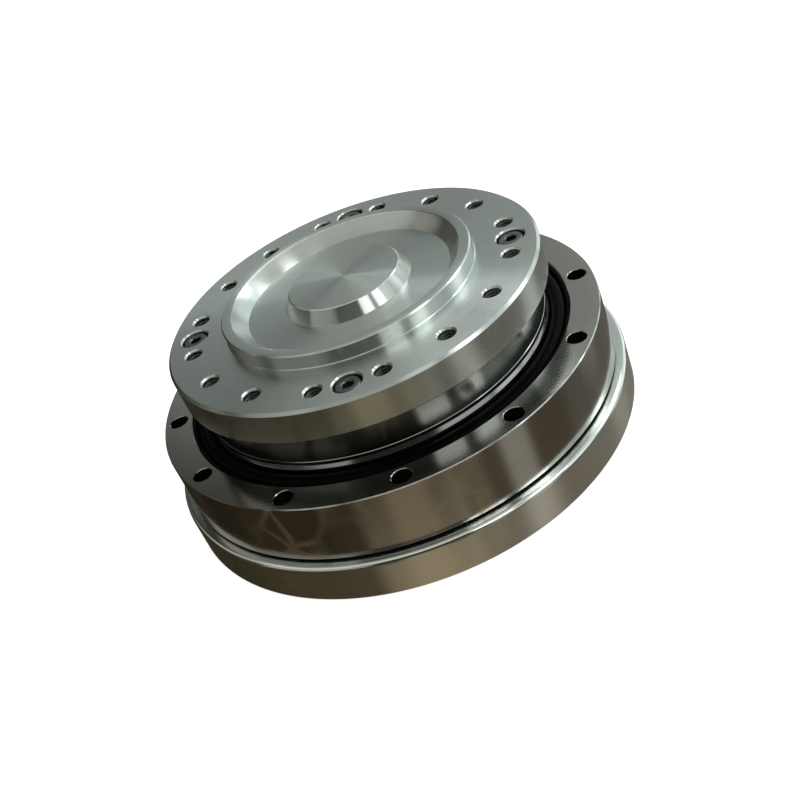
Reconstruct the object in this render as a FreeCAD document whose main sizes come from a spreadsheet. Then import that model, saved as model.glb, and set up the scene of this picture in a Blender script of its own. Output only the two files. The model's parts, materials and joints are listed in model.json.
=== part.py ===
"""Strain wave gearbox: a cup-type gear set with a crossed roller output bearing.

Millimetres. The main axis is Z, the origin is on it at the bottom face, and the output flange is on top.
"""

import FreeCAD, Part
import math
import os
import re

import Sketcher
from FreeCAD import Placement, Rotation, Vector

# Driving dimensions: name, size, and what it measures
DIMENSIONS = {
    "base_radius": (69.0, "bottom flange, outside"),
    "base_height": (11.3, "height of the joint face between bottom flange and outer ring"),
    "base_chamfer": (1.0, "bevel on the bottom flange's upper edge"),
    "base_foot": (0.5, "bevel on the bottom flange's lower edge"),
    "register_radius": (46.0, "motor register in the bottom face"),
    "register_depth": (2.5, "depth of the motor register"),
    "ring_radius": (66.1, "outer ring, outside"),
    "ring_top": (29.8, "height of the outer ring's top face"),
    "ring_edge": (0.4, "bevel on the outer ring's top edge"),
    "ring_foot": (0.7, "bevel on the outer ring's lower edge"),
    "joint_height": (0.7, "height of the groove for the joint seal"),
    "joint_inner": (64.7, "inside of the joint seal"),
    "joint_outer": (65.5, "outside of the joint seal"),
    "housing_circle": (123.2, "circle of the housing's through holes"),
    "housing_count": (12, "through holes in the housing"),
    "housing_phase": (-5.6, "angle of the first through hole"),
    "housing_hole": (2.75, "radius of a through hole"),
    "assembly_count": (4, "screws that join ring and bottom flange"),
    "screw_radius": (1.8, "radius of a small screw's shank, at the middle of its thread"),
    "screw_thread": (1.85, "radius of its threaded hole"),
    "screw_hole": (2.4, "radius of its clearance hole, coarse fit"),
    "head_radius": (3.5, "radius of its head"),
    "head_height": (4.0, "height of its head"),
    "head_room": (3.75, "radius of a hidden counterbore"),
    "socket_radius": (1.73, "corner radius of its hexagon socket"),
    "socket_depth": (2.0, "depth of its hexagon socket"),
    "assembly_seat": (4.4, "height of the assembly screws' seats"),
    "assembly_reach": (14.5, "length of the assembly screws' shanks"),
    "thread_spare": (1.0, "thread beyond an assembly screw's end"),
    "seal_radius": (57.5, "outside of the rubber seal"),
    "seal_seat": (26.0, "height of the seal's seat"),
    "seal_rim": (29.0, "height of the seal's rim"),
    "seal_ledge": (0.9, "width of that rim, and of the slope beside it"),
    "seal_top": (29.5, "height of the seal's crown"),
    "seal_round": (0.9, "rounding of the seal's lip"),
    "seal_play": (0.15, "gap between the seal's lip and the inner ring"),
    "roller_radius": (54.0, "radius of the circle of roller centres"),
    "roller_level": (19.5, "height of the roller centres"),
    "roller_diameter": (5.0, "roller, across"),
    "roller_length": (4.7, "roller, along"),
    "roller_count": (40, "crossed rollers"),
    "roller_play": (0.04, "gap between a roller and its raceways"),
    "spacer_width": (4.5, "roller spacer, across"),
    "spacer_thickness": (2.8, "roller spacer, along the track"),
    "race_gap": (0.4, "gap from the roller circle to each bearing ring"),
    "inner_bore": (43.0, "inside of the inner rings"),
    "inner_foot": (12.3, "height of the lower inner ring's underside"),
    "inner_shoulder": (25.4, "height of the upper inner ring's shoulder"),
    "inner_land": (51.8, "radius that the seal runs on"),
    "inner_top": (32.3, "height of the upper inner ring's top"),
    "inner_edge": (0.4, "bevel on its top edge"),
    "neck_radius": (51.2, "neck under the output flange"),
    "flange_radius": (54.8, "output flange, outside"),
    "flange_low": (41.8, "height of the output flange's underside"),
    "flange_top": (51.2, "height of the output flange's face"),
    "flange_edge": (0.8, "bevel on the output flange's edge"),
    "pilot_radius": (36.8, "pilot boss, outside"),
    "pilot_top": (55.5, "height of the pilot boss"),
    "pilot_edge": (0.4, "bevel on the pilot boss"),
    "recess_radius": (33.7, "recess in the boss, at its mouth"),
    "recess_foot": (29.9, "recess in the boss, at its floor"),
    "recess_floor": (51.6, "height of the recess floor"),
    "pad_foot": (18.6, "raised pad, at the recess floor"),
    "pad_radius": (16.3, "raised pad, at its top"),
    "output_circle": (94.0, "circle of the output flange's holes"),
    "output_count": (16, "tapped holes in the output flange"),
    "output_phase": (-0.16, "angle of the first tapped hole"),
    "tapped_radius": (2.1, "radius of a tapped hole's wall"),
    "tapped_mouth": (2.8, "radius of a tapped hole's countersunk mouth"),
    "tapped_depth": (9.0, "depth of a tapped hole"),
    "cap_count": (4, "cap screws in the output flange"),
    "cap_phase": (-11.41, "angle of the first cap screw"),
    "cap_room": (4.0, "radius of a cap screw's counterbore"),
    "cap_bevel": (0.4, "bevel on that counterbore's mouth"),
    "cap_seat": (46.7, "height of the cap screws' seats"),
    "cap_reach": (32.0, "length of the cap screws' shanks"),
    "cap_bottom": (13.3, "height where the cap screws' threads end"),
    "cavity_top": (36.6, "height of the ceiling that the cup's boss sits against"),
    "spigot_radius": (9.0, "spigot that centres the cup's boss"),
    "spigot_length": (2.2, "length of that spigot"),
    "tooth_module": (0.8, "gear module"),
    "flex_teeth": (102, "teeth on the flexspline"),
    "ring_teeth": (104, "teeth in the circular spline"),
    "wave_height": (0.8, "how far the oval stands out from a circle"),
    "addendum": (0.36, "tooth height above the pitch line"),
    "flex_dedendum": (0.44, "tooth depth below the pitch line, flexspline"),
    "ring_dedendum": (0.5, "tooth depth below the pitch line, circular spline"),
    "flank_angle": (25.0, "slope of a tooth's flank from the radial line"),
    "tooth_play": (0.03, "gap left at each flank"),
    "rim_wall": (1.0, "wall under the flexspline's teeth"),
    "rim_foot": (2.8, "height of the flexspline's open end"),
    "rim_top": (11.2, "height where the teeth end"),
    "cup_wall": (0.8, "wall of the cup"),
    "cup_top": (30.0, "height where the cup's wall is round"),
    "cup_radius": (39.7, "cup at that height, outside"),
    "cup_corner": (3.4, "width of the cup's turned-in corner"),
    "cup_straight": (1.0, "straight wall below that corner, outside"),
    "cup_straight_inside": (0.6, "straight wall below that corner, inside"),
    "diaphragm_low": (33.4, "height of the diaphragm's underside"),
    "diaphragm_top": (34.2, "height of the diaphragm's top"),
    "cup_boss": (16.0, "radius of the cup's boss"),
    "boss_bore": (9.1, "bore of the cup's boss"),
    "clamp_low": (30.6, "height of the clamp ring's underside"),
    "clamp_circle": (25.0, "circle of the clamp screws"),
    "clamp_count": (6, "clamp screws"),
    "clamp_reach": (12.0, "length of the clamp screws' shanks"),
    "clamp_thread": (44.0, "height where the clamp screws' threads end"),
    "race_play": (0.1, "gap between the outer race and the flexspline"),
    "race_outer_land": (37.1, "inside of the outer race"),
    "race_inner_land": (33.5, "outside of the inner race"),
    "plug_radius": (31.2, "oval plug, mean radius"),
    "plug_foot": (3.2, "height of the plug's underside"),
    "plug_height": (8.0, "height of the plug and its bearing"),
    "ball_circle": (35.3, "mean radius of the oval of ball centres"),
    "ball_radius": (3.0, "ball"),
    "ball_count": (21, "balls"),
    "track_reach": (3.08, "from the ball centres to a track's floor"),
    "track_floor": (1.2, "half width of a track at its floor"),
    "track_mouth": (2.6, "half width of a track at its mouth"),
    "cage_inner": (34.2, "ball cage, inside"),
    "cage_outer": (36.4, "ball cage, outside"),
    "cage_foot": (3.6, "height of the cage's underside"),
    "cage_height": (4.8, "height of the cage"),
    "pocket_radius": (3.4, "ball pocket in the cage, across its corners"),
    "stack_bore": (16.0, "bore of the plug"),
    "stack_shoulder": (12.5, "bore of the plug's shoulder"),
    "stack_top": (10.0, "height of that shoulder"),
    "washer_thickness": (0.5, "rub washer"),
    "washer_inner": (11.2, "inside of the rub washers and insert"),
    "washer_outer": (15.8, "outside of the rub washers and insert"),
    "insert_height": (3.7, "height of the coupling insert"),
    "tongue_width": (6.0, "coupling tongues"),
    "tongue_play": (0.1, "room beside and beyond a tongue"),
    "plug_tongue": (19.4, "reach of the insert's tongues"),
    "hub_tongue": (13.4, "reach of the hub's tongues"),
    "snap_inner": (14.2, "snap ring, inside"),
    "snap_outer": (16.8, "snap ring, outside"),
    "snap_height": (1.0, "snap ring, thickness"),
    "snap_gap": (9.0, "opening of the snap ring"),
    "hub_radius": (11.0, "input hub, outside"),
    "hub_foot": (2.8, "height of the hub's lower end"),
    "hub_top": (12.4, "height of the hub's upper end"),
    "input_bore": (7.0, "radius of the input bore"),
    "key_width": (5.0, "keyway, across"),
    "key_reach": (9.3, "keyway, from the axis to its floor"),
}

# Flats that stand for the round of the hidden rolling elements
ROLLER_FLATS = 12
POCKET_FLATS = 8
BALL_FLATS = 10
BALL_LATITUDES = (-72, -36, 0, 36, 72)

UP = Vector(0, 0, 1)

doc = FreeCAD.newDocument("StrainWaveGearbox")
sheet = doc.addObject("Spreadsheet::Sheet", "Dims")
for row, (alias, (size, meaning)) in enumerate(DIMENSIONS.items(), start=1):
    sheet.set(f"A{row}", meaning)
    sheet.set(f"B{row}", str(size))
    sheet.setAlias(f"B{row}", alias)
doc.recompute()

ALIASES = re.compile(r"\b(" + "|".join(DIMENSIONS) + r")\b")

# Heights in the coupling stack, from the plug's shoulder downwards
INSERT_TOP = "stack_top - washer_thickness"
INSERT_FOOT = f"{INSERT_TOP} - insert_height"
SNAP_TOP = f"{INSERT_FOOT} - washer_thickness"

# Sizes that several pieces share
FLEX_PITCH = "tooth_module * flex_teeth / 2"
RING_PITCH = "tooth_module * ring_teeth / 2"
RIM_BORE = f"{FLEX_PITCH} - flex_dedendum - rim_wall"
TOOTH_QUARTER = "tooth_module * pi / 4"
RACE_REACH = "(roller_diameter / 2 + roller_play) * sqrt(2)"
ASSEMBLY_PHASE = "housing_phase + 180 / housing_count"
BEARING_LEVEL = "plug_foot + plug_height / 2"


def formula(text):
    """The text with every dimension's name pointed at its cell in the sheet."""
    return ALIASES.sub(r"Dims.\1", text)


def value(text):
    """What a formula of dimensions comes to."""
    return float(sheet.evalExpression(formula(text)))


def bind(item, prop, text):
    item.setExpression(prop, formula(text))


def origin_feature(body, role):
    return next(f for f in body.Origin.OriginFeatures if f.Role == role)


def new_sketch(body, role, height=None, turn=None):
    """A sketch on one of the body's origin planes, raised along Z or turned about the main axis."""
    sketch = body.newObject("Sketcher::SketchObject", body.Name + "_sketch")
    sketch.AttachmentSupport = (origin_feature(body, role), [""])
    sketch.MapMode = "FlatFace"
    if height:
        bind(sketch, "AttachmentOffset.Base.z", height)
    if turn:
        sketch.AttachmentOffset = Placement(Vector(), Rotation(Vector(0, 1, 0), 1))
        bind(sketch, "AttachmentOffset.Rotation.Angle", turn)
    return sketch


def tie(sketch, line, end, x, y):
    """Ties one end of a line to the sheet, measured from the sketch's origin."""
    for kind, text, axis in (("DistanceX", x, -2), ("DistanceY", y, -1)):
        if text == "0":
            sketch.addConstraint(Sketcher.Constraint("PointOnObject", line, end, axis))
        else:
            index = sketch.addConstraint(Sketcher.Constraint(kind, -1, 1, line, end, value(text)))
            bind(sketch, f"Constraints[{index}]", text)


def outline(sketch, corners):
    """A closed outline of straight lines through corners that are given as formulas."""
    spots = [Vector(value(x), value(y), 0) for x, y in corners]
    lines = [Part.LineSegment(a, b) for a, b in zip(spots, spots[1:] + spots[:1])]
    sketch.addGeometry(lines, False)
    for line, (x, y) in enumerate(corners):
        sketch.addConstraint(Sketcher.Constraint("Coincident", line, 2, (line + 1) % len(corners), 1))
        tie(sketch, line, 1, x, y)


def turned(name, corners):
    """A piece turned about the main axis from a section of radii and heights."""
    body = doc.addObject("PartDesign::Body", name)
    sketch = new_sketch(body, "XZ_Plane")
    outline(sketch, corners)
    revolution = body.newObject("PartDesign::Revolution", name + "_turn")
    revolution.Profile = sketch
    revolution.ReferenceAxis = (sketch, ["V_Axis"])
    revolution.Angle = 360
    doc.recompute()
    return body


def repeat(body, feature, count):
    """Repeats a cut in equal steps about the main axis, and makes sure that it took material away."""
    once = body.Shape.Volume
    pattern = body.newObject("PartDesign::PolarPattern", feature.Name + "_ring")
    pattern.Originals = [feature]
    pattern.Axis = (origin_feature(body, "Z_Axis"), [""])
    pattern.Angle = 360
    bind(pattern, "Occurrences", count)
    body.Tip = pattern
    doc.recompute()
    if not body.Shape.Volume < once:
        raise ValueError(f"{pattern.Name} took nothing away")


def drill(body, circle, phase, count, wall):
    """A ring of holes, each turned from a wall of hole radii and heights that runs from mouth to bottom."""
    sketch = new_sketch(body, "XZ_Plane", turn=phase)
    centre = f"{circle} / 2"
    top, bottom = wall[0][1], wall[-1][1]
    sides = [(f"{centre} + {radius}", height) for radius, height in wall]
    outline(sketch, [(centre, top)] + sides + [(centre, bottom)])
    spots = [Vector(value(centre), value(height), 0) for height in (bottom, top)]
    axis = sketch.addGeometry(Part.LineSegment(*spots), True)
    for end, height in ((1, bottom), (2, top)):
        tie(sketch, axis, end, centre, height)
    before = body.Shape.Volume
    groove = body.newObject("PartDesign::Groove", body.Name + "_hole")
    groove.Profile = sketch
    groove.ReferenceAxis = (sketch, ["Axis0"])
    groove.Angle = 360
    doc.recompute()
    if not body.Shape.Volume < before:
        raise ValueError(f"{groove.Name} took nothing away")
    repeat(body, groove, count)


def rod(name, radius, foot, height):
    """A round disc or bar on the main axis."""
    item = doc.addObject("Part::Cylinder", name)
    bind(item, "Radius", radius)
    bind(item, "Height", height)
    bind(item, "Placement.Base.z", foot)
    return item


def bar(name, length, width, foot, height, start_x, start_y):
    """A rectangular bar, from its low corner."""
    item = doc.addObject("Part::Box", name)
    sizes = {"Length": length, "Width": width, "Height": height}
    corner = {"x": start_x, "y": start_y, "z": foot}
    for prop, text in sizes.items():
        bind(item, prop, text)
    for axis, text in corner.items():
        bind(item, f"Placement.Base.{axis}", text)
    return item


def cross_bar(name, along, reach, width, foot, height):
    """A bar that runs through the axis to the same reach on both sides."""
    long_side, start = f"2 * ({reach})", f"-({reach})"
    side = f"-({width}) / 2"
    if along == "x":
        return bar(name, long_side, width, foot, height, start, side)
    return bar(name, width, long_side, foot, height, side, start)


def oval(name, radius, level):
    """The oval that the wave generator gives to a circle of that radius."""
    curve = doc.addObject("Part::Ellipse", name)
    bind(curve, "MajorRadius", f"{radius} + wave_height")
    bind(curve, "MinorRadius", f"{radius} - wave_height")
    bind(curve, "Placement.Base.z", level)
    return curve


def raised(name, curve, height):
    """A solid raised straight up from a closed curve."""
    solid = doc.addObject("Part::Extrusion", name)
    solid.Base = curve
    solid.DirMode = "Custom"
    solid.Dir = UP
    solid.Solid = True
    bind(solid, "LengthFwd", height)
    return solid


def oval_disc(name, radius, foot, height):
    return raised(name, oval(name + "_outline", radius, foot), height)


def lofted(name, sections):
    loft = doc.addObject("Part::Loft", name)
    loft.Sections = sections
    loft.Solid = True
    loft.Ruled = True
    return loft


def cut(name, base, *tools):
    """The base less each tool in turn."""
    for number, tool in enumerate(tools, start=1):
        last = number == len(tools)
        step = doc.addObject("Part::Cut", name if last else f"{name}_cut_{number}")
        step.Base = base
        step.Tool = tool
        base = step
    return base


def fused(name, *shapes):
    join = doc.addObject("Part::MultiFuse", name)
    join.Shapes = list(shapes)
    return join


def group(name, shapes):
    """Separate solids under one name."""
    item = doc.addObject("Part::Feature", name)
    item.Shape = Part.makeCompound(shapes)
    return item


def turned_copies(seeds, count, phase=0.0):
    """Copies of the seeds, one after the other, in equal steps about the main axis."""
    doc.recompute()
    copies = []
    for number in range(count):
        copy = seeds[number % len(seeds)].Shape.copy()
        copy.rotate(Vector(), UP, phase + 360 * number / count)
        copies.append(copy)
    return copies


def oval_spot(radius, turn):
    """Where the wave takes a point of a circle without stretching it, and the way it then faces."""
    wave = value("wave_height")
    swing = math.sin(2 * turn) * wave / radius
    angle = turn - swing / 2
    reach = radius + wave * math.cos(2 * angle)
    return Vector(reach * math.cos(angle), reach * math.sin(angle), 0), turn + 1.5 * swing


def tooth_line():
    """The flexspline's toothed outline: straight-flanked teeth, each square to the bent rim."""
    radius = value(FLEX_PITCH)
    count = int(value("flex_teeth"))
    slope = math.tan(math.radians(value("flank_angle")))
    half = value(f"{TOOTH_QUARTER} - tooth_play")
    root, tip = -value("flex_dedendum"), value("addendum")
    points = []
    for tooth in range(count):
        centre, lean = oval_spot(radius, 2 * math.pi * tooth / count)
        out = Vector(math.cos(lean), math.sin(lean), 0)
        along = UP.cross(out)
        for side, height in ((-1, root), (-1, tip), (1, tip), (1, root)):
            points.append(centre + out * height + along * side * (half - height * slope))
    return points + points[:1]


def cap_screw(name, reach):
    """A socket-head cap screw that hangs from its seat at height zero, head up."""
    head = rod(name + "_head", "head_radius", "0", "head_height")
    shank = rod(name + "_shank", "screw_radius", f"-({reach})", reach)
    socket = doc.addObject("Part::Prism", name + "_socket")
    socket.Polygon = 6
    bind(socket, "Circumradius", "socket_radius")
    bind(socket, "Height", "socket_depth")
    bind(socket, "Placement.Base.z", "head_height - socket_depth")
    return cut(name, fused(name + "_blank", head, shank), socket)


def screw_ring(name, reach, circle, seat, count, phase, head_up):
    """A ring of equal cap screws, seated at one height."""
    screw = cap_screw(name + "_one", reach)
    screw.Placement = Placement(
        Vector(value(f"{circle} / 2"), 0, value(seat)),
        Rotation(Vector(1, 0, 0), 0 if head_up else 180),
    )
    return group(name, turned_copies([screw], int(value(count)), value(phase)))


def make_circular_spline():
    """Bottom flange with the internal teeth, the motor register and the screw holes."""
    tip = f"{RING_PITCH} - addendum"
    body = turned("circular_spline", [
        (tip, "register_depth"),
        ("register_radius", "register_depth"),
        ("register_radius", "0"),
        ("base_radius - base_foot", "0"),
        ("base_radius", "base_foot"),
        ("base_radius", "base_height - base_chamfer"),
        ("base_radius - base_chamfer", "base_height"),
        (tip, "base_height"),
    ])
    drill(body, "housing_circle", "housing_phase", "housing_count", [
        ("housing_hole", "base_height"),
        ("housing_hole", "0"),
    ])
    drill(body, "housing_circle", ASSEMBLY_PHASE, "assembly_count", [
        ("screw_hole", "base_height"),
        ("screw_hole", "assembly_seat"),
        ("head_room", "assembly_seat"),
        ("head_room", "0"),
    ])
    sketch = new_sketch(body, "XY_Plane", "base_height")
    slope = "tan(flank_angle)"
    near, far = f"{RING_PITCH} - 2 * addendum", f"{RING_PITCH} + ring_dedendum"
    near_half = f"{TOOTH_QUARTER} + 2 * addendum * {slope}"
    far_half = f"{TOOTH_QUARTER} - ring_dedendum * {slope}"
    outline(sketch, [
        (near, f"-({near_half})"),
        (far, f"-({far_half})"),
        (far, far_half),
        (near, near_half),
    ])
    before = body.Shape.Volume
    space = body.newObject("PartDesign::Pocket", "tooth_space")
    space.Profile = sketch
    bind(space, "Length", "base_height - register_depth")
    doc.recompute()
    if not body.Shape.Volume < before:
        raise ValueError("the tooth space took nothing away")
    repeat(body, space, "ring_teeth")
    return body


def make_bearing_outer_ring():
    """Outer bearing ring with a V-shaped raceway, the seal's bore and the through holes."""
    bore = "roller_radius + race_gap"
    throat = f"{RACE_REACH} - race_gap"
    body = turned("bearing_outer_ring", [
        (bore, "base_height"),
        ("joint_inner", "base_height"),
        ("joint_inner", "base_height + joint_height"),
        ("ring_radius - ring_foot", "base_height + joint_height"),
        ("ring_radius", "base_height + joint_height + ring_foot"),
        ("ring_radius", "ring_top - ring_edge"),
        ("ring_radius - ring_edge", "ring_top"),
        ("seal_radius", "ring_top"),
        ("seal_radius", "seal_seat"),
        (bore, "seal_seat"),
        (bore, f"roller_level + {throat}"),
        (f"roller_radius + {RACE_REACH}", "roller_level"),
        (bore, f"roller_level - ({throat})"),
    ])
    drill(body, "housing_circle", "housing_phase", "housing_count", [
        ("housing_hole", "ring_top"),
        ("housing_hole", "base_height"),
    ])
    drill(body, "housing_circle", ASSEMBLY_PHASE, "assembly_count", [
        ("screw_thread", "assembly_seat + assembly_reach + thread_spare"),
        ("screw_thread", "base_height"),
    ])
    return body


def make_shaft_seal():
    """Rubber lip seal: a rim pressed into the ring and a rounded lip that runs on the inner ring."""
    lip = "inner_land + seal_play"
    return turned("shaft_seal", [
        ("seal_radius", "seal_seat"),
        ("seal_radius", "seal_rim"),
        ("seal_radius - seal_ledge", "seal_rim"),
        ("seal_radius - 2 * seal_ledge", "seal_top"),
        (f"{lip} + 2 * seal_round", "seal_top"),
        (f"{lip} + seal_round / 2", "seal_top - seal_round / 2"),
        (lip, "seal_top - 3 * seal_round / 2"),
        (lip, "seal_top - 5 * seal_round / 2"),
        ("roller_radius + race_gap", "seal_seat"),
    ])


def make_joint_seal():
    return turned("joint_seal", [
        ("joint_inner", "base_height"),
        ("joint_outer", "base_height"),
        ("joint_outer", "base_height + joint_height"),
        ("joint_inner", "base_height + joint_height"),
    ])


def make_inner_ring_lower():
    land = "roller_radius - race_gap"
    throat = f"{RACE_REACH} - race_gap"
    body = turned("inner_ring_lower", [
        ("inner_bore", "inner_foot"),
        (land, "inner_foot"),
        (land, f"roller_level - ({throat})"),
        (f"roller_radius - {RACE_REACH}", "roller_level"),
        ("inner_bore", "roller_level"),
    ])
    drill(body, "output_circle", "cap_phase", "cap_count", [
        ("screw_thread", "roller_level"),
        ("screw_thread", "cap_bottom"),
    ])
    return body


def make_inner_ring_upper():
    land = "roller_radius - race_gap"
    throat = f"{RACE_REACH} - race_gap"
    body = turned("inner_ring_upper", [
        ("inner_bore", "roller_level"),
        (f"roller_radius - {RACE_REACH}", "roller_level"),
        (land, f"roller_level + {throat}"),
        (land, "inner_shoulder"),
        ("inner_land", "inner_shoulder"),
        ("inner_land", "inner_top - inner_edge"),
        ("inner_land - inner_edge", "inner_top"),
        ("inner_bore", "inner_top"),
    ])
    drill(body, "output_circle", "cap_phase", "cap_count", [
        ("screw_hole", "inner_top"),
        ("screw_hole", "roller_level"),
    ])
    return body


def make_output_flange():
    """Output flange: neck, face, pilot boss with its recess and pad, tapped holes and counterbores."""
    body = turned("output_flange", [
        ("0", "cavity_top - spigot_length"),
        ("spigot_radius", "cavity_top - spigot_length"),
        ("spigot_radius", "cavity_top"),
        ("inner_bore", "cavity_top"),
        ("inner_bore", "inner_top"),
        ("neck_radius", "inner_top"),
        ("neck_radius", "flange_low"),
        ("flange_radius", "flange_low"),
        ("flange_radius", "flange_top - flange_edge"),
        ("flange_radius - flange_edge", "flange_top"),
        ("pilot_radius", "flange_top"),
        ("pilot_radius", "pilot_top - pilot_edge"),
        ("pilot_radius - pilot_edge", "pilot_top"),
        ("recess_radius", "pilot_top"),
        ("recess_foot", "recess_floor"),
        ("pad_foot", "recess_floor"),
        ("pad_radius", "pilot_top"),
        ("0", "pilot_top"),
    ])
    drill(body, "output_circle", "output_phase", "output_count", [
        ("tapped_mouth", "flange_top"),
        ("tapped_radius", "flange_top - tapped_mouth + tapped_radius"),
        ("tapped_radius", "flange_top - tapped_depth"),
    ])
    drill(body, "output_circle", "cap_phase", "cap_count", [
        ("cap_room + cap_bevel", "flange_top"),
        ("cap_room", "flange_top - cap_bevel"),
        ("cap_room", "cap_seat"),
        ("screw_hole", "cap_seat"),
        ("screw_hole", "inner_top"),
    ])
    drill(body, "clamp_circle", "0", "clamp_count", [
        ("screw_thread", "clamp_thread"),
        ("screw_thread", "cavity_top"),
    ])
    return body


def make_flexspline():
    """Thin cup: an oval toothed rim that fades into a round wall, a diaphragm and a bolted boss."""
    teeth = doc.addObject("Part::Feature", "tooth_outline")
    teeth.Shape = Part.makePolygon(tooth_line())
    teeth.Placement = Placement(Vector(0, 0, value("rim_foot")), Rotation())
    rim_height = "rim_top - rim_foot"
    rim = cut(
        "toothed_rim",
        raised("toothed_blank", teeth, rim_height),
        oval_disc("rim_bore", RIM_BORE, "rim_foot", rim_height),
    )
    skins = []
    for side, rim_radius, end_radius in (
        ("outside", f"{RIM_BORE} + cup_wall", "cup_radius"),
        ("inside", RIM_BORE, "cup_radius - cup_wall"),
    ):
        end = doc.addObject("Part::Circle", f"cup_{side}_end")
        bind(end, "Radius", end_radius)
        bind(end, "Placement.Base.z", "cup_top")
        skins.append(lofted(f"cup_{side}", [oval(f"cup_{side}_start", rim_radius, "rim_top"), end]))
    wall = cut("cup_side", *skins)
    end = turned("cup_end", [
        ("cup_radius - cup_wall", "cup_top"),
        ("cup_radius", "cup_top"),
        ("cup_radius", "cup_top + cup_straight"),
        ("cup_radius - cup_corner", "diaphragm_top"),
        ("cup_boss", "diaphragm_top"),
        ("cup_boss", "cavity_top"),
        ("boss_bore", "cavity_top"),
        ("boss_bore", "diaphragm_low"),
        ("cup_radius - cup_corner", "diaphragm_low"),
        ("cup_radius - cup_wall", "cup_top + cup_straight_inside"),
    ])
    drill(end, "clamp_circle", "0", "clamp_count", [
        ("screw_hole", "cavity_top"),
        ("screw_hole", "diaphragm_low"),
    ])
    return fused("flexspline", rim, wall, end)


def make_clamp_ring():
    body = turned("clamp_ring", [
        ("boss_bore", "clamp_low"),
        ("cup_boss", "clamp_low"),
        ("cup_boss", "diaphragm_low"),
        ("boss_bore", "diaphragm_low"),
    ])
    drill(body, "clamp_circle", "0", "clamp_count", [
        ("screw_hole", "diaphragm_low"),
        ("screw_hole", "clamp_low"),
    ])
    return body


def make_cross_rollers():
    """Rollers round the track, every second one leaning the other way."""
    centre = Vector(value("roller_radius"), 0, value("roller_level"))
    seeds = []
    for lean in (1, -1):
        axis = Vector(lean, 0, 1).normalize()
        seed = doc.addObject("Part::Prism", f"roller_{len(seeds)}")
        seed.Polygon = ROLLER_FLATS
        bind(seed, "Circumradius", "roller_diameter / 2")
        bind(seed, "Height", "roller_length")
        seed.Placement = Placement(centre - axis * value("roller_length / 2"), Rotation(UP, axis))
        seeds.append(seed)
    return group("cross_rollers", turned_copies(seeds, int(value("roller_count"))))


def make_roller_spacers():
    """A spacer between each two rollers, square to the raceways."""
    sizes = {"Length": "spacer_width", "Width": "spacer_thickness", "Height": "spacer_width"}
    seed = doc.addObject("Part::Box", "spacer")
    for prop, text in sizes.items():
        bind(seed, prop, text)
    middle = Vector(*(value(text) for text in sizes.values())) / 2
    lean = Rotation(Vector(0, 1, 0), 45)
    centre = Vector(value("roller_radius"), 0, value("roller_level"))
    seed.Placement = Placement(centre - lean.multVec(middle), lean)
    count = int(value("roller_count"))
    return group("roller_spacers", turned_copies([seed], count, 180 / count))


def stacked_ovals(name, profile):
    """A solid through ovals of the given mean radii, at heights measured from the bearing's middle."""
    sections = []
    for radius, height in profile:
        sections.append(oval(f"{name}_{len(sections)}", radius, f"{BEARING_LEVEL} + {height}"))
    return lofted(name, sections)


def make_races():
    """The two thin oval races, each with a hollow track for the balls."""
    outer = oval_disc("race_outer_blank", f"{RIM_BORE} - race_play", "plug_foot", "plug_height")
    outer_bore = oval_disc("race_outer_bore", "race_outer_land", "plug_foot", "plug_height")
    outer_track = stacked_ovals("race_outer_track", [
        ("race_outer_land", "-track_mouth"),
        ("ball_circle + track_reach", "-track_floor"),
        ("ball_circle + track_reach", "track_floor"),
        ("race_outer_land", "track_mouth"),
    ])
    inner = stacked_ovals("race_inner_blank", [
        ("race_inner_land", "-plug_height / 2"),
        ("race_inner_land", "-track_mouth"),
        ("ball_circle - track_reach", "-track_floor"),
        ("ball_circle - track_reach", "track_floor"),
        ("race_inner_land", "track_mouth"),
        ("race_inner_land", "plug_height / 2"),
    ])
    inner_bore = oval_disc("race_inner_bore", "plug_radius", "plug_foot", "plug_height")
    return cut("race_outer", outer, outer_bore, outer_track), cut("race_inner", inner, inner_bore)


def at_balls(seed):
    """Copies of a seed at every ball's place, each turned to face outwards."""
    doc.recompute()
    count = int(value("ball_count"))
    lift = Vector(0, 0, value(BEARING_LEVEL))
    copies = []
    for number in range(count):
        spot, lean = oval_spot(value("ball_circle"), 2 * math.pi * (number + 0.5) / count)
        copy = seed.Shape.copy()
        copy.rotate(Vector(), UP, math.degrees(lean))
        copy.translate(spot + lift)
        copies.append(copy)
    return copies


def make_ball():
    """A ball made of flats: rings of four-cornered faces between two caps."""
    radius = value("ball_radius")
    turns = [2 * math.pi * flat / BALL_FLATS for flat in range(BALL_FLATS)]
    rings = []
    for latitude in map(math.radians, BALL_LATITUDES):
        reach, height = radius * math.cos(latitude), radius * math.sin(latitude)
        rings.append([Vector(reach * math.cos(turn), reach * math.sin(turn), height) for turn in turns])
    loops = [rings[0], rings[-1]]
    for low, high in zip(rings, rings[1:]):
        for flat in range(BALL_FLATS):
            loops.append([low[flat - 1], low[flat], high[flat], high[flat - 1]])
    faces = [Part.Face(Part.makePolygon(loop + loop[:1])) for loop in loops]
    ball = doc.addObject("Part::Feature", "ball")
    ball.Shape = Part.makeSolid(Part.makeShell(faces))
    return ball


def make_bearing_balls():
    return group("bearing_balls", at_balls(make_ball()))


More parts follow.
